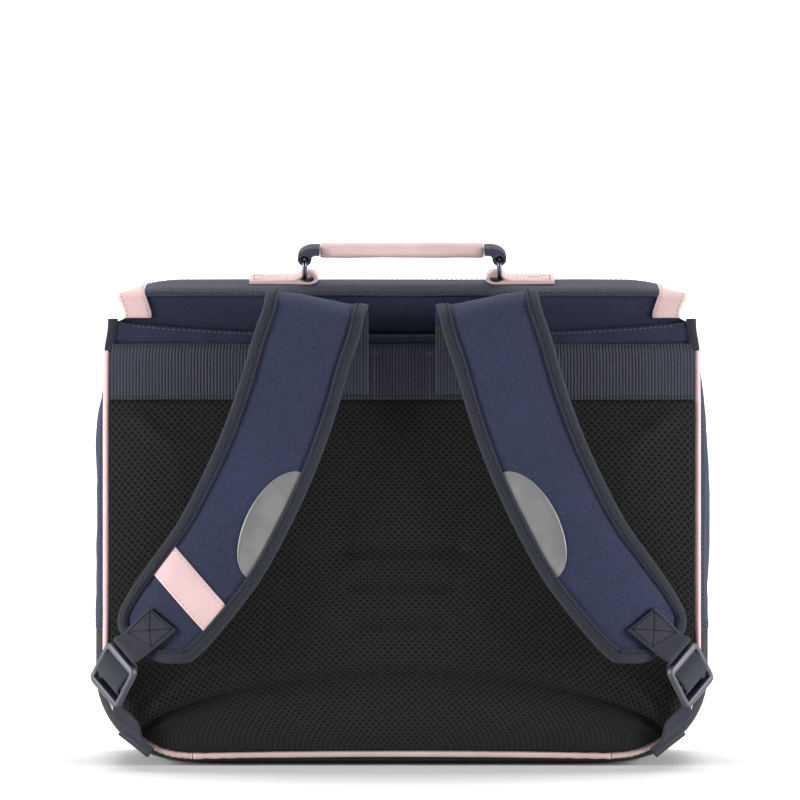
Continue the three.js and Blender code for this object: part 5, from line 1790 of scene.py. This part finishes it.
class SATCHEL_OT_back_pad(bpy.types.Operator):
    """Make the padded mesh on the back"""

    bl_idname = "satchel.back_pad"
    bl_label = "Back Pad"

    def execute(self, context):
        make_mesh_pad()
        return {"FINISHED"}


class SATCHEL_OT_back_webbing(bpy.types.Operator):
    """Make the broad webbing across the back"""

    bl_idname = "satchel.back_webbing"
    bl_label = "Back Webbing"

    def execute(self, context):
        make_back_webbing()
        return {"FINISHED"}


class SATCHEL_OT_piping(bpy.types.Operator):
    """Make the leather piping round the back"""

    bl_idname = "satchel.piping"
    bl_label = "Piping"

    def execute(self, context):
        make_piping()
        return {"FINISHED"}


class SATCHEL_OT_lid(bpy.types.Operator):
    """Make the lid with its leather trims and its webbing"""

    bl_idname = "satchel.lid"
    bl_label = "Lid"

    def execute(self, context):
        make_lid()
        return {"FINISHED"}


class SATCHEL_OT_handle(bpy.types.Operator):
    """Make the carrying handle with its rings, loops and tabs"""

    bl_idname = "satchel.handle"
    bl_label = "Handle"

    def execute(self, context):
        make_handle()
        return {"FINISHED"}


class SATCHEL_OT_straps(bpy.types.Operator):
    """Make the shoulder straps, their bindings, reflectors, patch, webbing and buckles"""

    bl_idname = "satchel.straps"
    bl_label = "Straps"

    def execute(self, context):
        for label, side in (("left", -1), ("right", 1)):
            strap, buckle = Strap(side), Buckle(side)
            add_strap_cloth(label, strap)
            add_strap_binding(label, strap)
            add_reflector(label, strap)
            if side < 0:
                add_strap_patch(strap)
            add_buckle(label, buckle)
            add_strap_tab(label, strap, buckle)
            add_lower_webbing(label, side, buckle)
        return {"FINISHED"}


class SATCHEL_OT_clasps(bpy.types.Operator):
    """Make the two plain clasps on the front"""

    bl_idname = "satchel.clasps"
    bl_label = "Clasps"

    def execute(self, context):
        make_clasps()
        return {"FINISHED"}


STEPS = (SATCHEL_OT_stage, SATCHEL_OT_case, SATCHEL_OT_back_pad, SATCHEL_OT_back_webbing, SATCHEL_OT_piping,
         SATCHEL_OT_lid, SATCHEL_OT_handle, SATCHEL_OT_straps, SATCHEL_OT_clasps)


class SATCHEL_PT_panel(bpy.types.Panel):
    """Sizes, colours and pieces of the satchel"""

    bl_idname = "SATCHEL_PT_panel"
    bl_label = "School Satchel"
    bl_space_type = "VIEW_3D"
    bl_region_type = "UI"
    bl_category = "Satchel"

    def draw(self, context):
        for group in (context.scene.satchel_sizes, context.scene.satchel_colours):
            box = self.layout.box()
            for name in group.__annotations__:
                box.prop(group, name)
        for step in STEPS:
            self.layout.operator(step.bl_idname)


CLASSES = (SatchelSizes, SatchelColours, *STEPS, SATCHEL_PT_panel)


def register():
    for made in CLASSES:
        bpy.utils.register_class(made)
    bpy.types.Scene.satchel_sizes = PointerProperty(type=SatchelSizes)
    bpy.types.Scene.satchel_colours = PointerProperty(type=SatchelColours)


def unregister():
    del bpy.types.Scene.satchel_colours
    del bpy.types.Scene.satchel_sizes
    for made in reversed(CLASSES):
        bpy.utils.unregister_class(made)


def main():
    register()
    bpy.ops.satchel.stage()
    bpy.ops.satchel.case()
    bpy.ops.satchel.back_pad()
    bpy.ops.satchel.back_webbing()
    bpy.ops.satchel.piping()
    bpy.ops.satchel.lid()
    bpy.ops.satchel.handle()
    bpy.ops.satchel.straps()
    bpy.ops.satchel.clasps()


if __name__ == "__main__":
    main()
